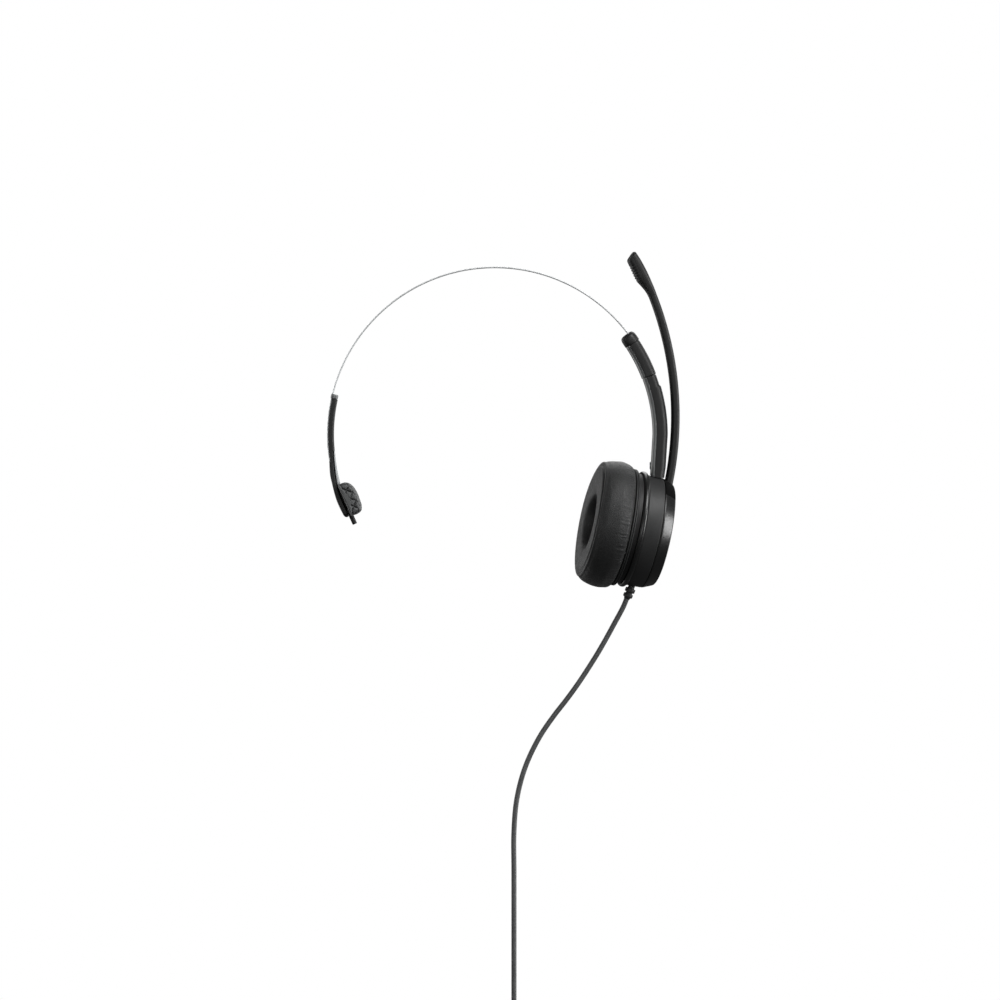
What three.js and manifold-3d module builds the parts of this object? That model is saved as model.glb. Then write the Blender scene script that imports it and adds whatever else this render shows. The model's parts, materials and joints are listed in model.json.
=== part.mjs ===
// Monaural office headset: spring band with a temple pad, sizing arm, swivelling ear cup, mic boom
// and a tied-up USB lead.
//
// Millimetres, +Z up. The origin is the inside of the band at the crown of the head. X runs across
// the head from the temple pad to the ear cup, and Y runs front to back.
import * as THREE from 'three';
import { mergeVertices } from 'three/addons/utils/BufferGeometryUtils.js';
import Module from 'manifold-3d';

const wasm = await Module();
wasm.setup();

const DEGREE = Math.PI / 180;
const DEPTH = new THREE.Vector3(0, 1, 0);
const ACROSS_CUP = new THREE.Vector3(1, 0, 0);

// ---------------------------------------------------------------------------------------------
// Driving dimensions
// ---------------------------------------------------------------------------------------------

const GAP = 0.3; // clearance between neighbouring pieces

// The band is one circle about a depth-wise axis below the crown. Angles on it are counted from
// +X, rising over the crown (90) to the temple side (180).
const BAND_RADIUS = 80;
const STRIP_THICKNESS = 0.5;
const STRIP_WIDTH = 9;
const STRIP_ENDS = [5, 189.2];
const SHOE_ANGLE = 8; // slide shoe riveted to the strip's end inside the sizing arm

// Temple arm: a thin moulding riveted under the strip. Past the strip's end it is a thicker tongue
// that carries the pad's pin. The pad bracket is a wedge under the arm.
const TEMPLE_ARM = { top: 167.6, tongue: 189.45, end: 209.2, inner: 77.3, halfWidth: 6 };
const TEMPLE_RIVETS = [172.5, 184];
const BRACKET = { from: 186.5, to: 197.8 };
const TEMPLE_PIN = { angle: 204, radius: 78.9, pinRadius: 1.15, from: -11, to: 12 };
const PAD = { length: 56, height: 16, back: 0.3, front: 6.8 };

// Sizing arm: the strip slides into it. It follows the band and runs straight down to the cup.
const ARM = {
  capTop: 37.3,
  capBottom: 33.55,
  seam: 20.5,
  inner: 75.4,
  outer: 83.1,
  halfWidth: 6.5,
  straight: 25,
  coverThickness: 2.0,
  hollowInner: 76.9,
  hollowOuter: 81.4,
  hollowHalfWidth: 5,
};

// Ear cup frame: the swivel axis crosses the cup's own axis at `centre`, in the band's plane.
const CUP = { centreX: 72.7, centreZ: -126.75, tilt: 11.3, yaw: 9, inset: 8.2 };
const PIVOT_HEIGHT = 20.6; // tilt pins, above the cup's axis
const POST_TOP = 30; // swivel post, above the cup's axis

// Depths below the outer face of the hub, and radii from the cup's axis.
const DRUM = {
  radius: 26.8,
  wall: 1.5,
  outerEnd: -4.4,
  innerEnd: -13.3,
  boss: 12.2,
  bore: 4,
  step: -5.8,
  stepRadius: 25.7,
};
const RIM = { radius: 28.1, outerEnd: -13.6, innerEnd: -16.05 };
const BAFFLE = { radius: 26.7, outerEnd: -16.35, innerEnd: -18.2 };
const FLANGE = { radius: 28.1, outerEnd: -18.5, innerEnd: -20.4, bore: 20 };
const CUSHION = { radius: 31.5, back: -20.7, front: -37.6, hole: 12.3 };
const SCREW_CIRCLE = 20.6;

// Boom: an arc in the plane of the cup's axis and the swivel axis, parked upwards.
const BOOM = { arcRadius: 157.1, foot: 25.9, depth: 2.1, thickness: 4, halfWidth: 2.7 };
const CAPSULE = { start: 33.2, end: 41.3, inner: -4.45, outer: 2, halfWidth: 4.6, split: -1.35 };
const TIP_SLANT = 25; // of the capsule's end face, from square to the boom
const MIC_ANGLE = 38; // microphone element, on the boom's arc
const HUB_SECTOR = 43.5; // half-angle of the boom's root block round the hub

// Lead
const CORD = { diameter: 2.5 };
const RELIEF = { depth: -9.85, lean: 10.6, length: 6.6 };
const CORD_ROUTE = [
  [63.3, -0.5, -159.0], [61.9, -0.5, -162.5], [60.1, -0.5, -166.0], [57.3, -0.5, -171.1],
  [54.2, -0.5, -176.8], [49.8, -0.5, -184.5], [45.0, -0.5, -192.2], [39.9, -0.5, -199.9],
  [34.3, -0.5, -207.6], [28.3, -0.5, -215.3], [21.3, -0.5, -225.7], [14.6, -0.5, -239.9],
  [10.6, -0.5, -255.1], [9.2, -0.5, -270.7], [9.2, -0.5, -290], [9.2, -0.5, -320],
  [9.2, -0.5, -350], [9.2, -0.5, -356], [9.6, -0.5, -359.1],
];
const COIL = { x: 7.15, y: 5.75, z: -380.3, middle: 13.6, layers: 3, rows: 6 };
const TIE = { angle: 112, width: 5, thickness: 1 };
const TAIL_LENGTH = 13.5;
const PLUG = { width: 15.6, thickness: 8, body: 25, relief: 9, shellWidth: 12, shellThickness: 4.5 };

// ---------------------------------------------------------------------------------------------
// Materials
// ---------------------------------------------------------------------------------------------

function finish(color, roughness, metalness = 0) {
  return new THREE.MeshStandardMaterial({ color, roughness, metalness });
}

const FINISH = {
  spring: finish(0xb9bcbf, 0.3, 1),
  steel: finish(0x8f9296, 0.35, 1),
  housing: finish(0x34363a, 0.45),
  shell: finish(0x2c2e30, 0.6),
  cover: finish(0x6c6e70, 0.3),
  bracket: finish(0xb3b5b8, 0.35),
  gloss: finish(0x3a3c40, 0.15),
  black: finish(0x161719, 0.7),
  leatherette: finish(0x3f4243, 0.6),
  rubber: finish(0x55585a, 0.8),
  cloth: finish(0x151617, 0.95),
  board: finish(0x1d5a3a, 0.5),
  cord: finish(0x303336, 0.65),
  plugWhite: finish(0xd8d8d4, 0.5),
};

// ---------------------------------------------------------------------------------------------
// Solids: cutting and joining closed geometries
// ---------------------------------------------------------------------------------------------

function signedVolume(points, corners) {
  let sum = 0;
  const a = new THREE.Vector3();
  const b = new THREE.Vector3();
  const c = new THREE.Vector3();
  for (let i = 0; i < corners.length; i += 3) {
    a.fromArray(points, 3 * corners[i]);
    b.fromArray(points, 3 * corners[i + 1]);
    c.fromArray(points, 3 * corners[i + 2]);
    sum += a.dot(b.cross(c)) / 6;
  }
  return sum;
}

// Manifold solid of a closed geometry, with its faces turned outward.
function solidOf(geometry) {
  const bare = geometry.clone();
  bare.deleteAttribute('normal');
  bare.deleteAttribute('uv');
  const merged = mergeVertices(bare, 1e-4);
  const points = merged.attributes.position.array;
  const corners = [];
  for (let i = 0; i < merged.index.count; i += 3) {
    const [a, b, c] = merged.index.array.slice(i, i + 3);
    if (a !== b && b !== c && c !== a) {
      corners.push(a, b, c);
    }
  }
  if (signedVolume(points, corners) < 0) {
    corners.reverse();
  }
  const mesh = new wasm.Mesh({
    numProp: 3,
    vertProperties: Float32Array.from(points),
    triVerts: Uint32Array.from(corners),
  });
  return new wasm.Manifold(mesh);
}

function geometryOf(solid) {
  const mesh = solid.getMesh();
  const geometry = new THREE.BufferGeometry();
  geometry.setAttribute('position', new THREE.BufferAttribute(mesh.vertProperties, 3));
  geometry.setIndex(new THREE.BufferAttribute(mesh.triVerts, 1));
  geometry.computeVertexNormals();
  return geometry;
}

function cut(body, ...tools) {
  return geometryOf(tools.reduce((rest, tool) => rest.subtract(solidOf(tool)), solidOf(body)));
}

function join(body, ...others) {
  return geometryOf(others.reduce((whole, other) => whole.add(solidOf(other)), solidOf(body)));
}

function common(body, other) {
  return geometryOf(solidOf(body).intersect(solidOf(other)));
}

function node(name, geometry, material) {
  const mesh = new THREE.Mesh(geometryOf(solidOf(geometry)), material);
  mesh.name = name;
  return mesh;
}

// ---------------------------------------------------------------------------------------------
// Shapes
// ---------------------------------------------------------------------------------------------

// Evenly spaced values from first to last, both included.
function spread(first, last, steps) {
  return Array.from({ length: steps + 1 }, (_, i) => first + ((last - first) * i) / steps);
}

// Ring turned about +Z from [radius, height] corners. It closes on itself unless it meets the axis.
function turned(corners, segments = 48) {
  const points = corners.map(([radius, height]) => new THREE.Vector2(radius, height));
  const onAxis = corners[0][0] === 0 && corners[corners.length - 1][0] === 0;
  if (!onAxis) {
    points.push(points[0].clone());
  }
  return new THREE.LatheGeometry(points, segments).rotateX(Math.PI / 2);
}

function annulus(inner, outer, low, high, segments = 48) {
  return turned([[inner, low], [outer, low], [outer, high], [inner, high]], segments);
}

function disc(radius, low, high, segments = 32) {
  return turned([[0, low], [radius, low], [radius, high], [0, high]], segments);
}

// Round rod between two points.
function rod(radius, from, to, segments = 14) {
  const start = new THREE.Vector3(...from);
  const span = new THREE.Vector3(...to).sub(start);
  const turn = new THREE.Quaternion().setFromUnitVectors(DEPTH, span.clone().normalize());
  const shape = new THREE.CylinderGeometry(radius, radius, span.length(), segments);
  shape.applyQuaternion(turn);
  return shape.translate(...start.addScaledVector(span, 0.5).toArray());
}

function block([lowX, lowY, lowZ], [highX, highY, highZ]) {
  const shape = new THREE.BoxGeometry(highX - lowX, highY - lowY, highZ - lowZ);
  return shape.translate((lowX + highX) / 2, (lowY + highY) / 2, (lowZ + highZ) / 2);
}

// Closed body through a row of convex rings that have the same number of points.
function loft(rings) {
  const count = rings[0].length;
  const last = (rings.length - 1) * count;
  const corners = [];
  for (let start = 0; start < last; start += count) {
    for (let i = 0; i < count; i += 1) {
      const here = start + i;
      const next = start + ((i + 1) % count);
      corners.push(here, next, here + count, next, next + count, here + count);
    }
  }
  for (let i = 1; i < count - 1; i += 1) {
    corners.push(0, i + 1, i, last, last + i, last + i + 1);
  }
  const geometry = new THREE.BufferGeometry();
  const points = rings.flat().flatMap((point) => point.toArray());
  geometry.setAttribute('position', new THREE.Float32BufferAttribute(points, 3));
  geometry.setIndex(corners);
  return geometry;
}

function signedPower(value, power) {
  return Math.sign(value) * Math.abs(value) ** power;
}

// A station is a place on a bent piece: distances along `out` are counted from `origin`, and
// `across` is square to it.
function stationPoint({ origin, out, across }, distance, side) {
  return origin.clone().addScaledVector(out, distance).addScaledVector(across, side);
}

// Cross-section at a station, from `inner` to `outer` and `halfWidth` to each side. Roundness 2 is
// an ellipse, and more is squarer.
function ovalRing(station, inner, outer, halfWidth, roundness = 2.6, count = 16) {
  return spread(0, 2 * Math.PI, count).slice(1).map((turn) => {
    const distance = signedPower(Math.cos(turn), 2 / roundness) * (outer - inner) / 2;
    const side = signedPower(Math.sin(turn), 2 / roundness) * halfWidth;
    return stationPoint(station, (inner + outer) / 2 + distance, side);
  });
}

// Rectangular cross-section at a station.
function boxRing(station, inner, outer, halfWidth) {
  const corners = [[inner, -halfWidth], [outer, -halfWidth], [outer, halfWidth], [inner, halfWidth]];
  return corners.map(([distance, side]) => stationPoint(station, distance, side));
}

// Station on the band: distances are radii from the band's centre.
function bandStation(angle) {
  return {
    origin: new THREE.Vector3(0, 0, -BAND_RADIUS),
    out: new THREE.Vector3(Math.cos(angle * DEGREE), 0, Math.sin(angle * DEGREE)),
    across: DEPTH,
  };
}

// Station below the band's widest point, where distances are X.
function straightStation(drop) {
  return {
    origin: new THREE.Vector3(0, 0, -BAND_RADIUS - drop),
    out: new THREE.Vector3(1, 0, 0),
    across: DEPTH,
  };
}

function bandPoint(angle, radius) {
  return stationPoint(bandStation(angle), radius, 0).toArray();
}

// Rectangular bar that follows the band.
function bandBar(from, to, inner, outer, halfWidth, steps) {
  return loft(spread(from, to, steps).map((angle) => boxRing(bandStation(angle), inner, outer, halfWidth)));
}

function bandRod(angle, radius, inner, outer) {
  return rod(radius, bandPoint(angle, inner), bandPoint(angle, outer), 12);
}

// Round body along a smooth line through the given points.
function tube(points, radius, steps) {
  const line = new THREE.CatmullRomCurve3(points.map((point) => new THREE.Vector3(...point)));
  const section = new THREE.Shape(spread(0, 7, 7).map((i) => new THREE.Vector2(
    radius * Math.cos((i * Math.PI) / 4),
    radius * Math.sin((i * Math.PI) / 4),
  )));
  return new THREE.ExtrudeGeometry(section, { steps, extrudePath: line, bevelEnabled: false });
}

// ---------------------------------------------------------------------------------------------
// Band and temple arm
// ---------------------------------------------------------------------------------------------

const STRIP_OUTER = BAND_RADIUS + STRIP_THICKNESS;

function bandStrip() {
  const strip = bandBar(...STRIP_ENDS, BAND_RADIUS, STRIP_OUTER, STRIP_WIDTH / 2, 56);
  const holes = [SHOE_ANGLE, ...TEMPLE_RIVETS].map((angle) => bandRod(angle, 1.5, 78, 82));
  return cut(strip, ...holes);
}

function stripSlot(from, to) {
  return bandBar(from, to, BAND_RADIUS - GAP, STRIP_OUTER + GAP, STRIP_WIDTH / 2 + GAP, 6);
}

// Radius where the temple arm meets the bracket, which gets thicker towards the pad.
function bracketSplit(angle) {
  return THREE.MathUtils.lerp(77.7, 79.6, THREE.MathUtils.clamp((angle - BRACKET.from) / 12, 0, 1));
}

// The tongue's outer face carries on from the strip's and swells towards the pin.
function templeArmOuter(angle) {
  const { smoothstep } = THREE.MathUtils;
  const tongue = STRIP_OUTER + 1.1 * smoothstep(angle, 188, 195.5) + 0.8 * smoothstep(angle, 195, 204);
  return angle < TEMPLE_ARM.tongue ? BAND_RADIUS - GAP : tongue;
}

function templeArmShell() {
  const { top, tongue, end, inner, halfWidth } = TEMPLE_ARM;
  const step = BRACKET.from - 1;
  const full = spread(top, step - 0.1, 5).map((angle) => (
    ovalRing(bandStation(angle), inner, templeArmOuter(angle), halfWidth, 5)));
  const lower = [...spread(step, tongue - 0.01, 2), ...spread(tongue, end - 1.5, 7)];
  const overBracket = lower.map((angle) => (
    ovalRing(bandStation(angle), bracketSplit(angle) + GAP, templeArmOuter(angle), halfWidth, 5)));
  const rings = [...full, ...overBracket];
  rings.push(ovalRing(bandStation(end - 0.5), 80.1, 82.1, halfWidth * 0.8, 3));
  rings.push(ovalRing(bandStation(end), 80.5, 81.7, halfWidth * 0.5, 3));
  const lug = bandBar(206.9, 208.4, 77.4, 81.4, 2.6, 2);
  const knuckleRoom = bandBar(200.3, 206.5, 75, 81.25, 2.9, 4);
  const pinHole = padAxisRod(TEMPLE_PIN.pinRadius + GAP, TEMPLE_PIN.from - GAP, 14);
  const rivetHoles = TEMPLE_RIVETS.map((angle) => bandRod(angle, 1.5, 76, 82));
  return cut(join(cut(loft(rings), knuckleRoom), lug), pinHole, ...rivetHoles);
}

function bandCollar() {
  const rings = [[165.9, 0.9], [166.15, 1], [167, 1], [167.3, 0.95]].map(([angle, scale]) => (
    ovalRing(bandStation(angle), 79.4 - 1.85 * scale, 79.4 + 1.9 * scale, 6.3 * scale, 5)));
  return cut(loft(rings), stripSlot(164, 169));
}

function padBracket() {
  const rings = spread(BRACKET.from, BRACKET.to, 7).map((angle) => {
    const inner = TEMPLE_ARM.inner + 0.05 * (angle - BRACKET.from);
    return ovalRing(bandStation(angle), inner, bracketSplit(angle), TEMPLE_ARM.halfWidth - 0.6, 5);
  });
  return cut(loft(rings), padAxisRod(TEMPLE_PIN.pinRadius + GAP, TEMPLE_PIN.from - GAP, 3));
}

// ---------------------------------------------------------------------------------------------
// Temple pad: local x down the arm, y in depth, z towards the head, from the middle of its pin
// ---------------------------------------------------------------------------------------------

const padFrame = new THREE.Group();
padFrame.position.set(...bandPoint(TEMPLE_PIN.angle, TEMPLE_PIN.radius));
padFrame.rotation.y = (270 - TEMPLE_PIN.angle) * DEGREE;
padFrame.updateMatrixWorld();

function padAxisRod(radius, from, to) {
  return rod(radius, [from, 0, 0], [to, 0, 0]).applyMatrix4(padFrame.matrixWorld);
}

function pinGeometry() {
  const { pinRadius, from, to } = TEMPLE_PIN;
  return rod(pinRadius, [from, 0, 0], [to, 0, 0], 16);
}

// Rubber bar across the head: a domed section with a flat front, rounded off at both ends.
function templePad() {
  const side = [[-1, 0], [-1, 0.55], [-0.82, 0.85], [-0.4, 1]];
  const corners = [...side, ...side.map(([height, rise]) => [-height, rise]).reverse()];
  const stages = [[-1, 0.72], [-0.97, 0.92], [-0.88, 1], [0.88, 1], [0.97, 0.92], [1, 0.72]];
  const rings = stages.map(([place, scale]) => corners.map(([height, rise]) => new THREE.Vector3(
    (height * scale * PAD.height) / 2,
    (place * PAD.length) / 2,
    PAD.back + (PAD.front - PAD.back) * rise * (0.5 + scale / 2),
  )));
  const pocket = block([-6.6, -25.3, -1], [6.6, 25.3, 4]);
  return cut(loft(rings), pocket, rod(TEMPLE_PIN.pinRadius + GAP, [-9, 0, 0], [9, 0, 0]));
}

function padCarrier() {
  const plate = block([-6.3, -25, 2.2], [6.3, 25, 3.7]);
  const knuckle = rod(2.1, [-4.8, 0, 0], [2.8, 0, 0]);
  const web = block([-4.8, -1.2, 1], [2.8, 1.2, 2.6]);
  return cut(join(plate, knuckle, web), rod(TEMPLE_PIN.pinRadius + GAP, [-9, 0, 0], [9, 0, 0]));
}

// ---------------------------------------------------------------------------------------------
// Sizing arm
// ---------------------------------------------------------------------------------------------

// Inner and outer surface of the arm, `drop` millimetres below the band's widest point. The foot
// leans towards the head, and its outside tapers to let the boom pass.
function footInner(drop) {
  return ARM.inner - 1.3 * (drop / 22);
}

function footOuter(drop) {
  return ARM.outer - 1.35 * (drop / 22);
}

function armBody(from, rounding) {
  const rings = [];
  if (rounding) {
    rings.push(ovalRing(bandStation(from), ARM.inner, 82.5, ARM.halfWidth - 0.4));
    rings.push(ovalRing(bandStation(16.9), ARM.inner, 82.6, ARM.halfWidth - 0.3));
  }
  const start = rounding ? 16.2 : from;
  for (const angle of spread(start, 0, 6)) {
    rings.push(ovalRing(bandStation(angle), ARM.inner, ARM.outer, ARM.halfWidth));
  }
  for (const drop of spread(5, ARM.straight, 4)) {
    rings.push(ovalRing(straightStation(drop), footInner(drop), footOuter(drop), ARM.halfWidth));
  }
  return loft(rings);
}

function upperArmBody() {
  const angles = spread(ARM.capBottom - 0.25, ARM.seam + 0.12, 5);
  return loft(angles.map((angle) => ovalRing(bandStation(angle), 75.5, 82.8, ARM.halfWidth - 0.1)));
}

// Slab that holds the inner cover of the arm, from below its surface to the split.
function coverSlab(from, straight, split) {
  const angles = spread(from, 0, 7);
  const rings = angles.map((angle) => boxRing(bandStation(angle), 70, split, 9));
  for (const drop of spread(6, straight, 3)) {
    rings.push(boxRing(straightStation(drop), 68, split - (1.3 * drop) / 22, 9));
  }
  return loft(rings);
}

// Room inside the arm where the strip and its shoe slide.
function hollow(from, to) {
  return bandBar(from, to, ARM.hollowInner, ARM.hollowOuter, ARM.hollowHalfWidth, 10);
}

const UPPER_SPLIT = ARM.inner + 1.6;
const LOWER_SPLIT = ARM.inner + ARM.coverThickness;
const COVER_DROP = 19.5;

function armCap() {
  const { capBottom, capTop } = ARM;
  const stages = [[capBottom, 1], [35.4, 1], [36.2, 0.94], [36.8, 0.83], [37.15, 0.68], [capTop, 0.5]];
  const rings = stages.map(([angle, scale]) => (
    ovalRing(bandStation(angle), 79.25 - 3.9 * scale, 79.25 + 3.9 * scale, 6.6 * scale)));
  return cut(loft(rings), stripSlot(32, 39));
}

function upperShell() {
  return cut(upperArmBody(), coverSlab(40, 1, UPPER_SPLIT + GAP), hollow(36, 19));
}

function upperCover() {
  return cut(common(upperArmBody(), coverSlab(40, 1, UPPER_SPLIT)), hollow(36, 19));
}

function lowerShell() {
  const body = cut(
    armBody(ARM.seam - 0.12, true),
    coverSlab(30, COVER_DROP + 0.5, LOWER_SPLIT + GAP),
    block([60, -9, -BAND_RADIUS - 30], [75.9, 9, -BAND_RADIUS - COVER_DROP - 0.5]),
    hollow(25, -9.5),
    drumRoom(),
    postRoom(),
  );
  return cut(body, coverScrewRod(0.95 + GAP, -1, 3.6));
}

function lowerCover() {
  return cut(
    common(armBody(ARM.seam - 0.12, true), coverSlab(30, COVER_DROP, LOWER_SPLIT)),
    hollow(25, -9.5),
    drumRoom(),
    postRoom(),
    coverScrewRod(0.95 + GAP, -4, 4),
    coverScrewRod(1.8 + GAP, -4, -1.1),
  );
}

// The cover's screw sits between the hollow and the swivel post, this far under the widest point.
const SCREW_DROP = 15;

// Rod along X through the cover's outer face, from `from` to `to` past it.
function coverScrewRod(radius, from, to) {
  const face = LOWER_SPLIT - (1.3 * SCREW_DROP) / 22;
  const z = -BAND_RADIUS - SCREW_DROP;
  return rod(radius, [face + from, 0, z], [face + to, 0, z], 12);
}

function armScrew() {
  return join(coverScrewRod(0.95, -1.4, 3.2), coverScrewRod(1.8, -2.1, -1.4));
}

function clickSpring() {
  return bandBar(25, 32, 80.85, 81.1, 3.2, 5);
}

function stripShoe() {
  const shoe = bandBar(5.6, 10.4, 77.9, BAND_RADIUS - GAP, 4.4, 3);
  return cut(shoe, bandRod(SHOE_ANGLE, 1.3, 76, 82));
}

function shoeRivet() {
  const shank = bandRod(SHOE_ANGLE, 1.0, 77.5, STRIP_OUTER + 0.35);
  return join(shank, bandRod(SHOE_ANGLE, 1.9, STRIP_OUTER + 0.3, STRIP_OUTER + 0.65));
}

// ---------------------------------------------------------------------------------------------
// Cup frame: local x in depth, y up the swivel axis, z outward along the cup's axis, with the
// origin on the swivel axis. `cupFace` has its origin on the hub's outer face instead.
// ---------------------------------------------------------------------------------------------

const swivelFrame = new THREE.Group();
const cupFrame = new THREE.Group();
const cupFace = new THREE.Group();
swivelFrame.add(cupFrame);
cupFrame.add(cupFace);

function placeCupFrames() {
  const lean = CUP.tilt * DEGREE;
  const outward = new THREE.Vector3(Math.cos(lean), 0, -Math.sin(lean));
  const upward = new THREE.Vector3(Math.sin(lean), 0, Math.cos(lean));
  const basis = new THREE.Matrix4().makeBasis(DEPTH, upward, outward);
  swivelFrame.quaternion.setFromRotationMatrix(basis);
  swivelFrame.position.set(CUP.centreX, 0, CUP.centreZ);
  cupFrame.rotation.y = CUP.yaw * DEGREE;
  cupFace.position.z = CUP.inset;
  swivelFrame.updateMatrixWorld(true);
}

placeCupFrames();

// Room round the drum for the foot of the arm, with the cup at the middle of its swivel.
function drumRoom() {
  const room = disc(DRUM.radius + 0.5, -22, 12, 64);
  return room.applyMatrix4(swivelFrame.matrixWorld);
}

// Blind hole in the arm's foot for the swivel post.
function postRoom() {
  return rod(2 + GAP, [0, 20, 0], [0, POST_TOP + GAP, 0]).applyMatrix4(swivelFrame.matrixWorld);
}

// ---------------------------------------------------------------------------------------------
// Swivel block
// ---------------------------------------------------------------------------------------------

const BLOCK_HALF = { width: 4.6, height: 3.4, depth: 2.2 };
const SWIVEL_PIN_RADIUS = 1.3;

function swivelPost() {
  return join(
    rod(2, [0, PIVOT_HEIGHT + BLOCK_HALF.height + 0.4, 0], [0, POST_TOP, 0]),
    rod(SWIVEL_PIN_RADIUS, [0, 16, 0], [0, 26, 0]),
    rod(1.9, [0, 15.3, 0], [0, 16, 0]),
  );
}

function swivelClip() {
  return annulus(SWIVEL_PIN_RADIUS + GAP, 2.3, 0, 0.45, 14).rotateX(Math.PI / 2).translate(0, 16.8, 0);
}

function swivelBlock() {
  const { width, height, depth } = BLOCK_HALF;
  const body = block([-width, PIVOT_HEIGHT - height, -depth], [width, PIVOT_HEIGHT + height, depth]);
  const bore = rod(SWIVEL_PIN_RADIUS + GAP, [0, 10, 0], [0, 30, 0]);
  const pinBores = [-1, 1].map((side) => (
    rod(1.1 + GAP, [side * 2.2, PIVOT_HEIGHT, 0], [side * 6, PIVOT_HEIGHT, 0])));
  return cut(body, bore, ...pinBores);
}

function tiltPin(side) {
  return rod(1.1, [side * 2.5, PIVOT_HEIGHT, 0], [side * 7.9, PIVOT_HEIGHT, 0]);
}

// ---------------------------------------------------------------------------------------------
// Ear cup housing. Heights are measured from the hub's outer face.
// ---------------------------------------------------------------------------------------------

const SCREW_ANGLES = [45, 135, 225, 315];

function onScrewCircle(angle) {
  return [SCREW_CIRCLE * Math.cos(angle * DEGREE), SCREW_CIRCLE * Math.sin(angle * DEGREE)];
}

function screwCircleRod(angle, radius, low, high) {
  const [x, y] = onScrewCircle(angle);
  return rod(radius, [x, y, low], [x, y, high], 12);
}

function reliefFrame() {
  const frame = new THREE.Object3D();
  frame.position.set(0, -DRUM.radius, RELIEF.depth);
  frame.rotation.x = (90 + RELIEF.lean) * DEGREE;
  frame.updateMatrix();
  return frame.matrix;
}

function housingDrum() {
  const { radius, wall, outerEnd, innerEnd, boss, bore, step, stepRadius } = DRUM;
  const can = turned([
    [bore, outerEnd + 2.7], [boss, outerEnd + 2.7], [boss, outerEnd], [stepRadius, outerEnd],
    [stepRadius, step], [radius - 0.3, step], [radius, step - 0.3], [radius + 0.1, innerEnd],
    [radius - wall, innerEnd], [radius - wall, step - 1.1], [stepRadius - 0.8, step - 0.6],
    [stepRadius - 0.8, outerEnd - 1.1], [bore, outerEnd - 1.1],
  ]);
  const bosses = SCREW_ANGLES.map((angle) => screwCircleRod(angle, 2.4, -15.8, outerEnd - 0.8));
  const ears = [-1, 1].map((side) => block(
    [Math.min(side * 5, side * 8.2), PIVOT_HEIGHT - 3, -CUP.inset - 2.2],
    [Math.max(side * 5, side * 8.2), PIVOT_HEIGHT + 2.6, outerEnd - 0.8],
  ));
  const screwHoles = SCREW_ANGLES.map((angle) => screwCircleRod(angle, 1.3, -17, -8.5));
  const pinHole = rod(1.1 + GAP, [-9, PIVOT_HEIGHT, -CUP.inset], [9, PIVOT_HEIGHT, -CUP.inset]);
  const postSlot = block([-3, 24, -CUP.inset - 3.1], [3, 28, -CUP.inset + 2.8]);
  const leadHole = rod(1.9, [0, 0, -5], [0, 0, 4]).applyMatrix4(reliefFrame());
  return cut(join(can, ...bosses, ...ears), ...screwHoles, pinHole, postSlot, leadHole);
}

function rimRing() {
  const { radius, outerEnd, innerEnd } = RIM;
  return turned([
    [25.6, innerEnd], [radius - 0.4, innerEnd], [radius, innerEnd + 0.5], [radius, outerEnd - 0.6],
    [radius - 0.5, outerEnd - 0.05], [25.6, outerEnd],
  ]);
}

function bafflePlate() {
  const { radius, outerEnd, innerEnd } = BAFFLE;
  const plate = annulus(16.4, radius, innerEnd, outerEnd);
  const holes = SCREW_ANGLES.map((angle) => screwCircleRod(angle, 1.3, -19, -15));
  const headRooms = SCREW_ANGLES.map((angle) => screwCircleRod(angle, 2.3, -19, -17));
  return cut(plate, ...holes, ...headRooms);
}

function baffleScrew(angle) {
  return join(screwCircleRod(angle, 1.0, -17.4, -9.5), screwCircleRod(angle, 2.0, -18.1, -17.3));
}

function cushionRing() {
  const { radius, bore, outerEnd, innerEnd } = FLANGE;
  return turned([
    [bore, innerEnd], [radius - 0.4, innerEnd], [radius, innerEnd + 0.45], [radius, outerEnd - 0.3],
    [radius - 0.4, outerEnd], [bore, outerEnd],
  ]);
}

function earCushion() {
  const { radius, back, front, hole } = CUSHION;
  return turned([
    [hole, back], [28.6, back], [30.4, back - 1.5], [31.3, back - 3.9], [radius, back - 6.3],
    [30.9, front + 7], [30.1, front + 4.2], [28.4, front + 1.7], [26.3, front + 0.4], [24.6, front],
    [15, front], [13, front + 0.9], [hole, front + 3],
  ], 40);
}

function speakerCloth() {
  return disc(19.6, -20.4, -19.9);
}

function speakerGrille() {
  const plate = disc(19.6, -19.5, -18.6);
  const holes = [[0, 1], [5.5, 6], [11, 8]].flatMap(([radius, count]) => (
    Array.from({ length: count }, (_, i) => {
      const turn = (2 * Math.PI * i) / count;
      const place = [radius * Math.cos(turn), radius * Math.sin(turn)];
      return rod(1.6, [...place, -21], [...place, -17], 6);
    })));
  return cut(plate, ...holes);
}

function driverBasket() {
  return turned([
    [0, -13.4], [9.6, -13.4], [13.2, -17.0], [13.2, -18.0], [16.0, -18.0], [16.0, -16.9],
    [14.2, -16.5], [10.2, -12.6], [0, -12.6],
  ], 24);
}

function driverMagnet() {
  return disc(6.4, -15.9, -13.7, 20);
}

function voiceCoil() {
  return annulus(6.9, 7.4, -16.7, -14.3, 20);
}

function driverDiaphragm() {
  return turned([
    [0, -17.7], [6.5, -17.5], [10, -17.25], [12.8, -17.6], [12.8, -17.3], [10, -17.0], [6.5, -17.2],
    [0, -17.4],
  ], 20);
}

function circuitBoard() {
  const board = block([-10, -17.5, -11.4], [10, -8.5, -10.4]);
  const chips = [[-5, -13], [4, -12]].map(([x, y]) => (
    block([x - 2, y - 1.6, -10.6], [x + 2, y + 1.6, -9.4])));
  return join(board, ...chips);
}

// ---------------------------------------------------------------------------------------------
// Boom hub
// ---------------------------------------------------------------------------------------------

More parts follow.
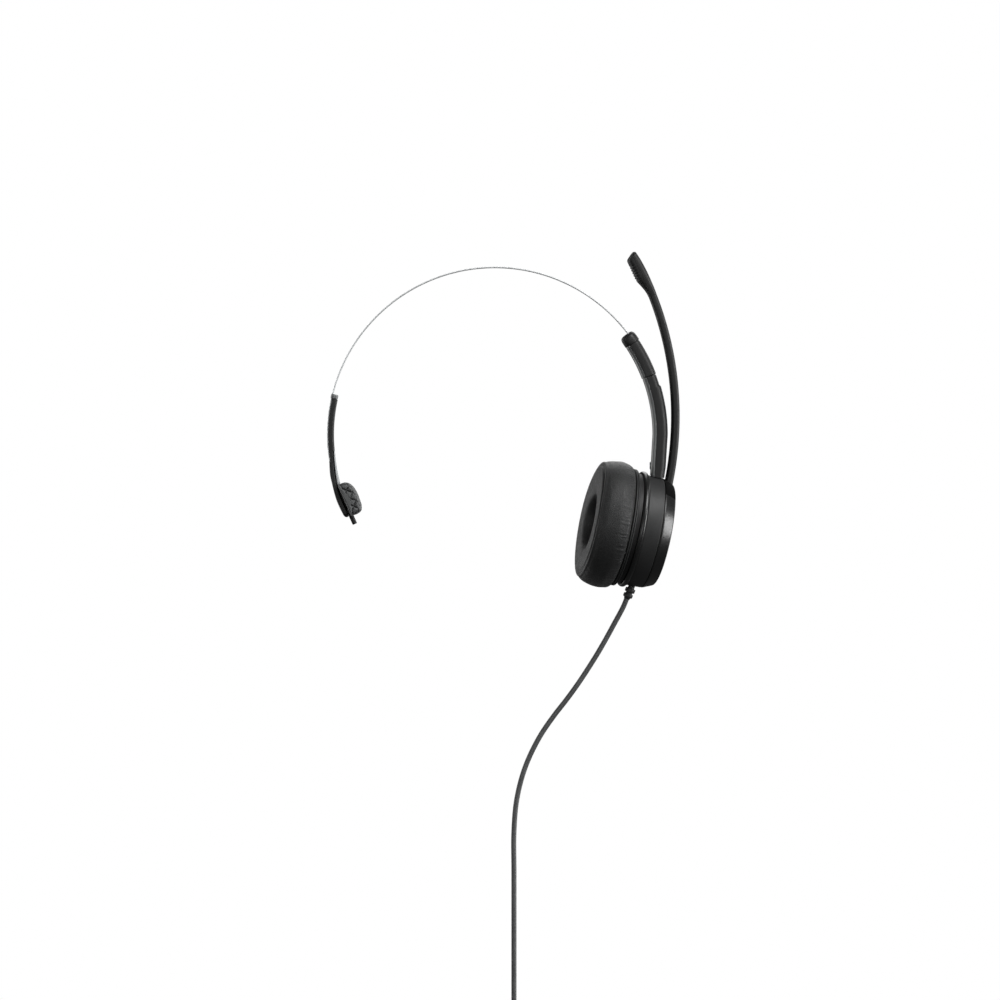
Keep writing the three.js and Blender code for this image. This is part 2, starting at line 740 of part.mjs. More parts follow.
// The ring turns on the drum's face, and its skirt covers the step round the drum.
function hubRingWhole(grow = 0) {
  return turned([
    [12.6, -3.5], [19.8, -3.5], [20.2, -4.1], [26.05, -4.1], [26.05, -5.5 - grow],
    [26.75 + grow, -5.5 - grow], [26.6 + grow, -3.0], [26.0 + grow, -1.6], [25.3 + grow, -0.5],
    [24.65 + grow, grow], [20.6, grow], [20.6, -1.7], [12.6, -1.7],
  ]);
}

// Wedge round the top of the hub, from `inner` outwards.
function hubSector(inner, halfAngle) {
  const turns = spread(90 - halfAngle, 90 + halfAngle, 6);
  const corner = (radius, turn) => new THREE.Vector2(
    radius * Math.cos(turn * DEGREE),
    radius * Math.sin(turn * DEGREE),
  );
  const outline = turns.map((turn) => corner(32, turn));
  outline.push(...turns.reverse().map((turn) => corner(inner, turn)));
  const wedge = new THREE.ExtrudeGeometry(new THREE.Shape(outline), { depth: 8, bevelEnabled: false });
  return wedge.translate(0, 0, -6);
}

function boomHubRing() {
  return cut(hubRingWhole(), hubSector(21, HUB_SECTOR + 0.35));
}

function boomRoot() {
  const socket = block([-1.6, 22.6, -3.2], [1.6, 30, -1.0]);
  return cut(common(hubRingWhole(), hubSector(21.3, HUB_SECTOR - 0.35)), socket);
}

function hubCap() {
  return turned([[0, -0.5], [20.2, -0.5], [20.2, -0.1], [19.7, 0.15], [10, 0.42], [0, 0.5]]);
}

function retainingPlate() {
  return annulus(2.3, 15.6, -1.4, -0.95, 24);
}

function frictionWasher() {
  return annulus(13, 19, -4.1, -3.8, 28);
}

function hubBush() {
  return turned([
    [2.3, -6.6], [6.0, -6.6], [6.0, -5.8], [3.7, -5.8], [3.7, -1.9], [2.3, -1.9],
  ], 20);
}

function hubScrew() {
  return join(rod(2, [0, 0, -7.4], [0, 0, -0.8]), rod(3.8, [0, 0, -8.1], [0, 0, -7.0]));
}

// ---------------------------------------------------------------------------------------------
// Boom: stations on its arc, in the cup's x = 0 plane. Angles are counted from the hub, and
// distances from the middle of the boom's thickness.
// ---------------------------------------------------------------------------------------------

function boomStation(angle, slant = 0) {
  const direction = (turn) => new THREE.Vector3(0, Math.sin(turn * DEGREE), Math.cos(turn * DEGREE));
  const centre = new THREE.Vector3(0, BOOM.foot, -BOOM.depth - BOOM.arcRadius);
  const origin = centre.addScaledVector(direction(angle), BOOM.arcRadius);
  return { origin, out: direction(angle + slant), across: ACROSS_CUP };
}

function boomArm() {
  const half = BOOM.thickness / 2;
  const angles = [-0.9, 0.8, ...spread(3, CAPSULE.start - 0.12, 13)];
  const rings = angles.map((angle) => ovalRing(boomStation(angle), -half, half, BOOM.halfWidth));
  const stem = block([-1.3, 22.9, -2.9], [1.3, 28, -1.3]);
  return join(cut(loft(rings), hubRingWhole(GAP), disc(22, -8, 2), disc(26.4, -8, -3.9)), stem);
}

function capsuleBody() {
  const { start, end, inner, outer, halfWidth } = CAPSULE;
  const stages = [
    [start, 0, -2, 2, 2.75], [start + 1.4, 0, -2.6, 2.05, 3.2], [start + 2.3, 0, -3.3, outer, 3.7],
    [start + 3.2, 0, -4.1, outer, 4.3], [start + 4.1, 0.2, inner, outer, halfWidth],
    [end - 1.6, 0.7, inner, outer - 0.1, halfWidth], [end - 0.5, 1, inner, outer - 0.3, halfWidth],
    [end - 0.15, 1, inner + 0.3, outer - 0.9, halfWidth * 0.92],
    [end, 1, inner + 0.9, outer - 1.6, halfWidth * 0.78],
  ];
  return loft(stages.map(([angle, slant, low, high, width]) => (
    ovalRing(boomStation(angle, slant * TIP_SLANT), low, high, width, 3.2))));
}

// Rectangular bar that follows the boom.
function boomBar(from, to, inner, outer, halfWidth) {
  return loft(spread(from, to, 4).map((angle) => boxRing(boomStation(angle), inner, outer, halfWidth)));
}

function micRod(radius, from, to) {
  const ends = [from, to].map((distance) => stationPoint(boomStation(MIC_ANGLE), distance, 0).toArray());
  return rod(radius, ...ends, 14);
}

function capsuleHollow() {
  return boomBar(36.5, 40.1, -3.3, 0.5, 3.4);
}

function capsuleBack() {
  const half = boomBar(30, 44, CAPSULE.split + GAP / 2, 8, 8);
  return cut(common(capsuleBody(), half), capsuleHollow());
}

function capsuleFront() {
  const half = boomBar(30, 44, -12, CAPSULE.split - GAP / 2, 8);
  const slots = spread(37, 39.8, 4).map((angle) => boomBar(angle - 0.14, angle + 0.14, -6, -2.6, 2.9));
  return cut(common(capsuleBody(), half), capsuleHollow(), ...slots);
}

function micElement() {
  return micRod(2, -2.7, -0.6);
}

function micGasket() {
  return cut(micRod(3.1, -2.3, -1), micRod(2 + GAP, -4, 1));
}

// ---------------------------------------------------------------------------------------------
// Strain relief and lead
// ---------------------------------------------------------------------------------------------

function strainRelief() {
  const ribs = turned([
    [0, -3.6], [3, -3.6], [3, -2.8], [1.6, -2.8], [1.6, 1.3], [2.4, 1.5], [2.4, 3.2], [1.6, 3.4],
    [1.6, 3.9], [2.25, 4.1], [2.25, 5.7], [1.7, 5.95], [1.5, RELIEF.length], [0, RELIEF.length],
  ], 16);
  return ribs.applyMatrix4(reliefFrame());
}

function coilRadii() {
  const half = (COIL.layers * CORD.diameter) / 2;
  return [COIL.middle - half, COIL.middle + half];
}

function coilRing() {
  const [inner, outer] = coilRadii();
  const half = (COIL.rows * CORD.diameter) / 2;
  return annulus(inner, outer, -half, half, 36).rotateX(Math.PI / 2).translate(COIL.x, COIL.y, COIL.z);
}

function coilTie() {
  const [inner, outer] = coilRadii();
  const half = (COIL.rows * CORD.diameter) / 2;
  const { width, thickness, angle } = TIE;
  const low = [inner - 0.7, -half - GAP];
  const high = [outer + GAP, half + GAP];
  const sleeve = cut(
    block(
      [low[0] - thickness, low[1] - thickness, -width / 2],
      [high[0] + thickness, high[1] + thickness, width / 2],
    ),
    block([...low, -width], [...high, width]),
  );
  return sleeve.rotateY(-angle * DEGREE).translate(COIL.x, COIL.y, COIL.z);
}

// The last turn leaves the coil at its side and hangs straight down to the plug.
const TAIL_X = COIL.x + COIL.middle + ((COIL.layers - 1) * CORD.diameter) / 2;
const TAIL_Y = COIL.y + ((COIL.rows - 1) * CORD.diameter) / 2;
const TAIL_TOP = COIL.z - 10.2;
const PLUG_TOP = TAIL_TOP - TAIL_LENGTH - GAP;

function cordTail() {
  const points = spread(TAIL_TOP, TAIL_TOP - TAIL_LENGTH, 2).map((z) => [TAIL_X, TAIL_Y, z]);
  return tube(points, CORD.diameter / 2, 4);
}

function roundedSection(width, thickness, radius) {
  const shape = new THREE.Shape();
  const x = width / 2 - radius;
  const y = thickness / 2 - radius;
  shape.absarc(x, y, radius, 0, Math.PI / 2);
  shape.absarc(-x, y, radius, Math.PI / 2, Math.PI);
  shape.absarc(-x, -y, radius, Math.PI, 1.5 * Math.PI);
  shape.absarc(x, -y, radius, 1.5 * Math.PI, 2 * Math.PI);
  return shape;
}

// Plug parts hang below local z = 0, the top of the plug's relief.
function plugPart(shape, top, length) {
  const options = { depth: length, bevelEnabled: false, curveSegments: 3 };
  return new THREE.ExtrudeGeometry(shape, options).translate(0, 0, top - length);
}

function plugOvermould() {
  const { width, thickness, body, relief } = PLUG;
  const sleeve = turned([[0, -relief - 0.5], [2.9, -relief - 0.5], [2.0, 0], [0, 0]], 20);
  return join(plugPart(roundedSection(width, thickness, 2), -relief, body), sleeve);
}

function plugShell() {
  const { shellWidth, shellThickness, body, relief } = PLUG;
  const top = -relief - body - GAP;
  const windows = [-2.8, 2.8].map((x) => block([x - 1.1, -4, top - 7.6], [x + 1.1, 4, top - 5.4]));
  const outside = plugPart(roundedSection(shellWidth, shellThickness, 0.6), top, 12);
  const inside = plugPart(roundedSection(shellWidth - 0.8, shellThickness - 0.8, 0.3), top + 1, 14);
  return cut(outside, inside, ...windows);
}

function plugTongue() {
  const top = -PLUG.relief - PLUG.body - GAP;
  return block([-5.2, -1.55, top - 11.4], [5.2, 0.25, top]);
}

// ---------------------------------------------------------------------------------------------
// Assembly
// ---------------------------------------------------------------------------------------------

const headset = new THREE.Group();

headset.add(
  node('band_strip', bandStrip(), FINISH.spring),
  node('band_collar', bandCollar(), FINISH.cover),
  node('temple_arm_shell', templeArmShell(), FINISH.shell),
  node('pad_bracket', padBracket(), FINISH.bracket),
  node('strip_shoe', stripShoe(), FINISH.black),
  node('shoe_rivet', shoeRivet(), FINISH.steel),
);
TEMPLE_RIVETS.forEach((angle, i) => {
  headset.add(node(`temple_rivet_${i + 1}`, bandRod(angle, 1.2, 77.6, STRIP_OUTER), FINISH.steel));
});

headset.add(
  node('arm_cap', armCap(), FINISH.shell),
  node('arm_upper_shell', upperShell(), FINISH.shell),
  node('arm_upper_cover', upperCover(), FINISH.cover),
  node('arm_lower_shell', lowerShell(), FINISH.shell),
  node('arm_lower_cover', lowerCover(), FINISH.cover),
  node('click_spring', clickSpring(), FINISH.steel),
  node('arm_screw', armScrew(), FINISH.steel),
);

headset.add(padFrame);
padFrame.add(
  node('pad_pin', pinGeometry(), FINISH.black),
  node('pad_carrier', padCarrier(), FINISH.black),
  node('temple_pad', templePad(), FINISH.rubber),
);

headset.add(swivelFrame);
swivelFrame.add(
  node('swivel_post', swivelPost(), FINISH.steel),
  node('swivel_clip', swivelClip(), FINISH.steel),
);
cupFrame.add(
  node('swivel_block', swivelBlock(), FINISH.black),
  node('tilt_pin_front', tiltPin(-1), FINISH.steel),
  node('tilt_pin_rear', tiltPin(1), FINISH.steel),
);
cupFace.add(
  node('housing_drum', housingDrum(), FINISH.housing),
  node('rim_ring', rimRing(), FINISH.gloss),
  node('baffle_plate', bafflePlate(), FINISH.black),
  node('cushion_ring', cushionRing(), FINISH.housing),
  node('ear_cushion', earCushion(), FINISH.leatherette),
  node('speaker_cloth', speakerCloth(), FINISH.cloth),
  node('speaker_grille', speakerGrille(), FINISH.black),
  node('driver_basket', driverBasket(), FINISH.steel),
  node('driver_magnet', driverMagnet(), FINISH.steel),
  node('voice_coil', voiceCoil(), FINISH.spring),
  node('driver_diaphragm', driverDiaphragm(), FINISH.cloth),
  node('circuit_board', circuitBoard(), FINISH.board),
  node('hub_bush', hubBush(), FINISH.spring),
  node('hub_screw', hubScrew(), FINISH.steel),
  node('retaining_plate', retainingPlate(), FINISH.steel),
  node('hub_cap', hubCap(), FINISH.housing),
  node('strain_relief', strainRelief(), FINISH.cord),
);
SCREW_ANGLES.forEach((angle, i) => {
  cupFace.add(node(`baffle_screw_${i + 1}`, baffleScrew(angle), FINISH.steel));
});

cupFace.add(
  node('friction_washer', frictionWasher(), FINISH.steel),
  node('boom_hub_ring', boomHubRing(), FINISH.gloss),
  node('boom_root', boomRoot(), FINISH.shell),
  node('boom_arm', boomArm(), FINISH.shell),
  node('mic_capsule_back', capsuleBack(), FINISH.shell),
  node('mic_capsule_front', capsuleFront(), FINISH.shell),
  node('mic_element', micElement(), FINISH.steel),
  node('mic_gasket', micGasket(), FINISH.black),
);

headset.add(
  node('cord_tube', tube(CORD_ROUTE, CORD.diameter / 2, 60), FINISH.cord),
  node('cord_coil', coilRing(), FINISH.cord),
  node('coil_tie', coilTie(), FINISH.black),
  node('cord_tail', cordTail(), FINISH.cord),
);

const plug = new THREE.Group();
plug.position.set(TAIL_X, TAIL_Y, PLUG_TOP);
headset.add(plug);
plug.add(
  node('usb_overmould', plugOvermould(), FINISH.cord),
  node('usb_shell', plugShell(), FINISH.spring),
  node('usb_tongue', plugTongue(), FINISH.plugWhite),
);

export default headset;
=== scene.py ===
"""Looks for the monaural office headset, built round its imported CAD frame. The row frame is in metres."""

import json
import math
from contextlib import contextmanager

import bmesh
import bpy
from mathutils import Matrix, Vector


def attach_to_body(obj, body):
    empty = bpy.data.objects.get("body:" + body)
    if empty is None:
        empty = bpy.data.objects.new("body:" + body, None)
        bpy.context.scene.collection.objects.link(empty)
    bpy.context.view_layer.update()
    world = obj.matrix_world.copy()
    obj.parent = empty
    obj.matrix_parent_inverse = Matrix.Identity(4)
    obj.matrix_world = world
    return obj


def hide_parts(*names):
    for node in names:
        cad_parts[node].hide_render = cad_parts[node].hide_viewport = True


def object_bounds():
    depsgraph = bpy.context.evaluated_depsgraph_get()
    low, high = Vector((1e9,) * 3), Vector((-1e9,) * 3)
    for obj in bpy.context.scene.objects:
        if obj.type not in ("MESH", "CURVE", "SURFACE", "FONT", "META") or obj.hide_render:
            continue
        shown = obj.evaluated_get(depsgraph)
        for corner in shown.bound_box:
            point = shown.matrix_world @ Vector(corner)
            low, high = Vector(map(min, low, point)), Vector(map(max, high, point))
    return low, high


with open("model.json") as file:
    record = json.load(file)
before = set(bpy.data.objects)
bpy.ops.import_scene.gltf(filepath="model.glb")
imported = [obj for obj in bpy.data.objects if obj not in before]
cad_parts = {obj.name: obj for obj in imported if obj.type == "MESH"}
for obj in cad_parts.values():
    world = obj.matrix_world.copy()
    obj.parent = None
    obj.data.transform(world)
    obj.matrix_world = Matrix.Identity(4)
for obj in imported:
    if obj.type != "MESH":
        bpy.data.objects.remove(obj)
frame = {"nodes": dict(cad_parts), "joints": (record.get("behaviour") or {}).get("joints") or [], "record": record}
CAD_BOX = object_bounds()
JOINTS = {joint["name"]: joint for joint in frame["joints"]}
MM = 0.001
BAND_RADIUS = 80
PIVOT_HEIGHT = 20.6  # from the cup's axis up to the tilt pins


# === Helpers ===


def spread(first, last, steps):
    """Evenly spaced values, both ends included."""
    return [first + (last - first) * i / steps for i in range(steps + 1)]


def smoothstep(value, low, high):
    """Eased from 0 at low to 1 at high."""
    t = min(1.0, max(0.0, (value - low) / (high - low)))
    return t * t * (3 - 2 * t)


def along(value, table):
    """Columns of a table at a value between the first numbers of its rows."""
    for before, after in zip(table, table[1:]):
        if value <= after[0]:
            break
    t = (value - before[0]) / (after[0] - before[0])
    return [a + (b - a) * t for a, b in zip(before[1:], after[1:])]


def new_object(name, data):
    obj = bpy.data.objects.new(name, data)
    bpy.context.scene.collection.objects.link(obj)
    return obj


@contextmanager
def editing(mesh, source=None):
    """Opens a mesh for editing, with its own faces or a source's, and writes it back."""
    made = bmesh.new()
    made.from_mesh(source or mesh)
    yield made
    made.to_mesh(mesh)
    made.free()


# === Places ===

# Each piece has its own frame. Its mesh is written in millimetres and kept in metres.


def local_frame(x_axis, y_axis, z_axis, origin):
    """Matrix from a local frame to the row frame."""
    turn = Matrix((x_axis, y_axis, z_axis)).transposed().to_4x4()
    return Matrix.Translation(origin) @ turn


def cup_frame():
    """x in depth, y up the cup, z out along its axis, from the hub's outer face."""
    z_axis = Vector(JOINTS["boom_rotation"]["axis"]).normalized()
    x_axis = Vector(JOINTS["cup_tilt"]["axis"]).normalized()
    return local_frame(x_axis, z_axis.cross(x_axis), z_axis, JOINTS["boom_rotation"]["pos_m"])


def pad_frame():
    """x down the temple arm, y in depth, z towards the head, from the pad's pin."""
    x_axis = Vector(JOINTS["pad_swivel"]["axis"]).normalized()
    y_axis = Vector((0, 1, 0))
    return local_frame(x_axis, y_axis, x_axis.cross(y_axis), JOINTS["pad_swivel"]["pos_m"])


def swivel_frame():
    """x in depth, y up the swivel axis, z out through the cup before it is turned."""
    y_axis = Vector(JOINTS["cup_swivel"]["axis"]).normalized()
    x_axis = Vector((0, 1, 0))
    centre = Vector(JOINTS["cup_swivel"]["pos_m"]) - y_axis * PIVOT_HEIGHT * MM
    return local_frame(x_axis, y_axis, x_axis.cross(y_axis), centre)


ROW = Matrix.Identity(4)
CUP = cup_frame()
PAD = pad_frame()
SWIVEL = swivel_frame()


# === Camera ===

VIEW_CENTRE = (0.0025, -0.1115)
VIEW_WIDTH = 0.4805
CAMERA_DISTANCE = 4.0
SENSOR = 36.0


def make_camera():
    """Long lens level with the object, looking along the band's depth."""
    data = bpy.data.cameras.new("camera")
    data.sensor_width = SENSOR
    data.lens = SENSOR * CAMERA_DISTANCE / VIEW_WIDTH
    camera = new_object("camera", data)
    camera.location = (VIEW_CENTRE[0], -CAMERA_DISTANCE, VIEW_CENTRE[1])
    camera.rotation_euler = (math.radians(90), 0, 0)
    bpy.context.scene.camera = camera


make_camera()


# === The lead ===

# Its route is the CAD route, and its coil is wound turn by turn.

CORD_DIAMETER = 2.5
CORD_DEPTH = -0.5
CORD_XZ = [
    (63.3, -159.0), (61.9, -162.5), (60.1, -166.0), (57.3, -171.1), (54.2, -176.8), (49.8, -184.5),
    (45.0, -192.2), (39.9, -199.9), (34.3, -207.6), (28.3, -215.3), (21.3, -225.7), (14.6, -239.9),
    (10.6, -255.1), (9.2, -270.7), (9.2, -290), (9.2, -320), (9.2, -350), (9.2, -356),
]
CORD_ROUTE = [(x, CORD_DEPTH, z) for x, z in CORD_XZ]
COIL = {"x": 7.15, "y": 5.75, "z": -380.3, "middle": 13.6, "layers": 3, "rows": 6}
JOIN_ANGLE = 60  # where the lead meets the coil, and the bend that takes it there
JOIN_RADIUS = 12
JOIN_STEPS = 9
TAIL_END = -404.3
TAIL_STEPS = 8
SHIFT_FROM = 0.75  # part of a turn that stays in its place before it moves over to the next one


def smooth_line(points, step):
    """Centripetal Catmull-Rom line through the points, sampled about every step."""
    points = [Vector(p) for p in points]
    ends = [2 * points[0] - points[1], *points, 2 * points[-1] - points[-2]]
    line = []
    for p0, p1, p2, p3 in zip(ends, ends[1:], ends[2:], ends[3:]):
        t1 = math.sqrt((p1 - p0).length)
        t2 = t1 + math.sqrt((p2 - p1).length)
        t3 = t2 + math.sqrt((p3 - p2).length)
        count = max(1, round((p2 - p1).length / step))
        for i in range(count):
            t = t1 + (t2 - t1) * i / count
            a1 = p0.lerp(p1, t / t1)
            a2 = p1.lerp(p2, (t - t1) / (t2 - t1))
            a3 = p2.lerp(p3, (t - t2) / (t3 - t2))
            b1 = a1.lerp(a2, t / t2)
            b2 = a2.lerp(a3, (t - t1) / (t3 - t1))
            line.append(b1.lerp(b2, (t - t1) / (t2 - t1)))
    return [*line, points[-1]]


def coil_line(per_turn=40):
    """Turns laid side by side, row behind row, from the outer turn of the front row."""
    radii = [COIL["middle"] + CORD_DIAMETER * (1 - i) for i in range(COIL["layers"])]
    rows = [COIL["y"] + CORD_DIAMETER * (i - (COIL["rows"] - 1) / 2) for i in range(COIL["rows"])]
    turns = []
    for i, y in enumerate(rows):
        turns += [(radius, y) for radius in (radii if i % 2 == 0 else radii[::-1])]
    turns.append(turns[-1])
    line = []
    for here, then in zip(turns, turns[1:]):
        for i in range(per_turn):
            shift = smoothstep(i / per_turn, SHIFT_FROM, 1.0)
            radius = here[0] + (then[0] - here[0]) * shift
            y = here[1] + (then[1] - here[1]) * shift
            line.append(coil_point(JOIN_ANGLE - 360 * i / per_turn, radius, y))
    outer, last = turns[-1]
    steps = per_turn // 6  # JOIN_ANGLE is a sixth of a turn
    line += [coil_point(JOIN_ANGLE * (1 - i / steps), outer, last) for i in range(steps + 1)]
    return line


def coil_point(angle, radius, y):
    """Point of the coil at an angle, a radius and a depth."""
    turn = math.radians(angle)
    return Vector((COIL["x"] + radius * math.cos(turn), y, COIL["z"] + radius * math.sin(turn)))


def cord_line():
    """Centreline of the whole lead in millimetres, from the strain relief to the plug."""
    line = smooth_line(CORD_ROUTE, 2.0)
    x, y, z = line[-1]
    for i in range(1, JOIN_STEPS):
        turn = math.radians(JOIN_ANGLE * i / JOIN_STEPS)
        line.append(Vector((x + JOIN_RADIUS * (1 - math.cos(turn)), y, z - JOIN_RADIUS * math.sin(turn))))
    line += coil_line()
    x, y, z = line[-1]
    line += [Vector((x, y, height)) for height in spread(z, TAIL_END, TAIL_STEPS)[1:]]
    return line


def make_cord(material):
    """Round tube along the lead's centreline."""
    line = [point * MM for point in cord_line()]
    data = bpy.data.curves.new("lead", "CURVE")
    data.dimensions = "3D"
    data.bevel_depth = CORD_DIAMETER / 2 * MM
    data.bevel_resolution = 4
    data.use_fill_caps = True
    spline = data.splines.new("POLY")
    spline.points.add(len(line) - 1)
    for point, place in zip(spline.points, line):
        point.co = (*place, 1)
    spline.use_smooth = True
    cord = new_object("lead", data)
    data.materials.append(material)
    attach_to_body(cord, "ear_cup")
    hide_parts("cord_tube", "cord_coil", "cord_tail")
    return cord


# === Material building ===

THREAD_PITCH = 0.0006
TINT = (0.97, 1, 1.01)


def tone(value):
    """Slightly cool linear colour of a grey given as 0 to 255 on the screen."""
    s = value / 255
    linear = s / 12.92 if s <= 0.04045 else ((s + 0.055) / 1.055) ** 2.4
    return (linear * TINT[0], linear * TINT[1], linear * TINT[2], 1)


class Surface:
    """A material being built: one Principled shader, with its procedural inputs added one by one."""

    def __init__(self, name, roughness, metallic=0.0, specular=0.5):
        self.material = bpy.data.materials.new(name)
        self.material.use_nodes = True
        self.tree = self.material.node_tree
        self.shader = self.tree.nodes["Principled BSDF"]
        self.shader.inputs["Roughness"].default_value = roughness
        self.shader.inputs["Metallic"].default_value = metallic
        self.shader.inputs["Specular IOR Level"].default_value = specular
        self.coordinates = self.node("ShaderNodeTexCoord").outputs["Object"]
        self.normal = None

    def node(self, kind, **inputs):
        made = self.tree.nodes.new(kind)
        for key, value in inputs.items():
            self.feed(made.inputs[key.replace("_", " ")], value)
        return made

    def feed(self, socket, value):
        if isinstance(value, bpy.types.NodeSocket):
            self.tree.links.new(value, socket)
        else:
            socket.default_value = value

    def noise(self, scale, detail, squeeze=None):
        """Noise from 0 to 1 with features about 1/scale metres across, or squeezed along each axis."""
        vector = self.coordinates
        if squeeze:
            vector = self.node("ShaderNodeMapping", Vector=vector, Scale=squeeze).outputs["Vector"]
        return self.node("ShaderNodeTexNoise", Vector=vector, Scale=scale, Detail=detail).outputs["Fac"]

    def cells(self, scale, feature="F1"):
        """Distances in a pattern of cells about 1/scale metres across."""
        made = self.node("ShaderNodeTexVoronoi", Vector=self.coordinates, Scale=scale)
        made.feature = feature
        return made.outputs["Distance"]

    def ranged(self, value, low, high, to_low, to_high):
        """A value from low to high turned into one from to_low to to_high, and kept between those."""
        made = self.node(
            "ShaderNodeMapRange", Value=value, From_Min=low, From_Max=high, To_Min=to_low, To_Max=to_high
        )
        return made.outputs["Result"]

    def math(self, operation, a, b):
        made = self.tree.nodes.new("ShaderNodeMath")
        made.operation = operation
        self.feed(made.inputs[0], a)
        self.feed(made.inputs[1], b)
        return made.outputs["Value"]

    def mixed(self, factor, first, second):
        """The first colour where the factor is 0, and the second where it is 1."""
        made = self.tree.nodes.new("ShaderNodeMix")
        made.data_type = "RGBA"
        self.feed(made.inputs["Factor"], factor)
        self.feed(made.inputs[6], first)
        self.feed(made.inputs[7], second)
        return made.outputs[2]

    def edges(self, radius):
        """From 0 on flat places to 1 on outward edges, found from how far rounding turns the normal."""
        rounded = self.node("ShaderNodeBevel", Radius=radius)
        rounded.samples = 4
        geometry = self.tree.nodes.new("ShaderNodeNewGeometry")
        dot = self.tree.nodes.new("ShaderNodeVectorMath")
        dot.operation = "DOT_PRODUCT"
        self.feed(dot.inputs[0], rounded.outputs["Normal"])
        self.feed(dot.inputs[1], geometry.outputs["True Normal"])
        return self.ranged(dot.outputs["Value"], 0.995, 0.86, 0.0, 1.0)

    def shade_in_hollows(self, low, high):
        """Mask for painted shade: from 1 in hollows to 0 on flat places, found from the bend of the mesh itself.
        """
        geometry = self.tree.nodes.new("ShaderNodeNewGeometry")
        return self.ranged(geometry.outputs["Pointiness"], low, high, 1.0, 0.0)

    def bump(self, height, distance, strength):
        """Adds relief: height runs from 0 to 1, and distance is its depth in metres."""
        made = self.node("ShaderNodeBump", Height=height, Strength=strength, Distance=distance)
        if self.normal is not None:
            self.feed(made.inputs["Normal"], self.normal)
        self.normal = made.outputs["Normal"]
        self.feed(self.shader.inputs["Normal"], self.normal)

    def colour(self, value):
        self.feed(self.shader.inputs["Base Color"], value)

    def roughness(self, value):
        self.feed(self.shader.inputs["Roughness"], value)

    def sheen(self, weight, roughness):
        self.shader.inputs["Sheen Weight"].default_value = weight
        self.shader.inputs["Sheen Roughness"].default_value = roughness


def moulded_plastic(name, grey, roughness, grain=0.000012, specular=0.5):
    """Injection-moulded plastic: fine eroded texture, faint flow clouds and edges polished by handling."""
    s = Surface(name, roughness, specular=specular)
    base = s.mixed(s.noise(60, 3), tone(grey * 0.9), tone(grey * 1.1))
    rub = s.math("MULTIPLY", s.edges(0.0004), s.ranged(s.noise(900, 2), 0.35, 0.75, 0.2, 1.0))
    s.colour(s.mixed(s.math("MULTIPLY", rub, 0.35), base, tone(grey * 1.6 + 12)))
    patches = s.ranged(s.noise(110, 4), 0.3, 0.7, roughness * 0.88, roughness * 1.1)
    s.roughness(s.math("SUBTRACT", patches, s.math("MULTIPLY", rub, 0.12)))
    s.bump(s.noise(5200, 3), grain * 2, 0.6)
    s.bump(s.cells(3600), grain, 0.5)
    return s.material


def polished_plastic(name, grey, roughness, specular, coat):
    """Glossy moulding: faint orange peel, hairline scuffs and dust in its roughness."""
    s = Surface(name, roughness, specular=specular)
    s.colour(s.mixed(s.noise(80, 2), tone(grey * 0.93), tone(grey * 1.07)))
    scuffs = s.noise(700, 4, squeeze=(1, 9, 1))
    s.roughness(s.ranged(scuffs, 0.35, 0.72, roughness * 0.92, roughness * 1.3))
    s.bump(s.noise(420, 1), 0.000004, 0.3)
    s.bump(s.ranged(scuffs, 0.62, 0.7, 0.0, 1.0), 0.000003, 0.4)
    s.shader.inputs["Coat Weight"].default_value = coat
    s.shader.inputs["Coat Roughness"].default_value = 0.1
    return s.material


def rolled_steel(name, grey, roughness):
    """Bright rolled strip: fine grain along its length, with faint handling marks."""
    s = Surface(name, roughness, metallic=0.6)
    grain = s.noise(300, 5, squeeze=(1, 60, 1))
    s.colour(s.mixed(grain, tone(grey * 0.9), tone(grey * 1.08)))
    marks = s.ranged(s.noise(160, 4), 0.45, 0.75, 0.0, 0.12)
    s.roughness(s.math("ADD", s.ranged(grain, 0.2, 0.8, roughness * 0.8, roughness * 1.25), marks))
    s.bump(grain, 0.000004, 0.5)
    return s.material


def plated_steel(name, grey, roughness=0.3):
    """Plain metal, uneven in tone and polish."""
    s = Surface(name, roughness, metallic=1.0)
    s.colour(s.mixed(s.noise(260, 3), tone(grey * 0.88), tone(grey * 1.05)))
    s.roughness(s.ranged(s.noise(900, 3), 0.3, 0.7, roughness * 0.8, roughness * 1.4))
    s.bump(s.noise(2400, 2), 0.000006, 0.4)
    return s.material


def soft_rubber(name, grey, roughness=0.62):
    """Matt elastomer with a fine skin, dust on it, painted shade in its hollows and a soft sheen."""
    s = Surface(name, roughness, specular=0.4)
    dust = s.ranged(s.noise(240, 5), 0.4, 0.75, 0.0, 1.0)
    dusty = s.mixed(s.math("MULTIPLY", dust, 0.35), tone(grey), tone(grey * 1.35 + 6))
    # painted shade: the mesh's hollows, such as the pad's grooves, are darkened to 0.3 of the grey
    s.colour(s.mixed(s.shade_in_hollows(0.42, 0.497), dusty, tone(grey * 0.3)))
    s.roughness(s.ranged(dust, 0.0, 1.0, roughness * 0.9, roughness * 1.2))
    s.bump(s.noise(3800, 3), 0.000012, 0.5)
    s.sheen(0.12, 0.5)
    return s.material


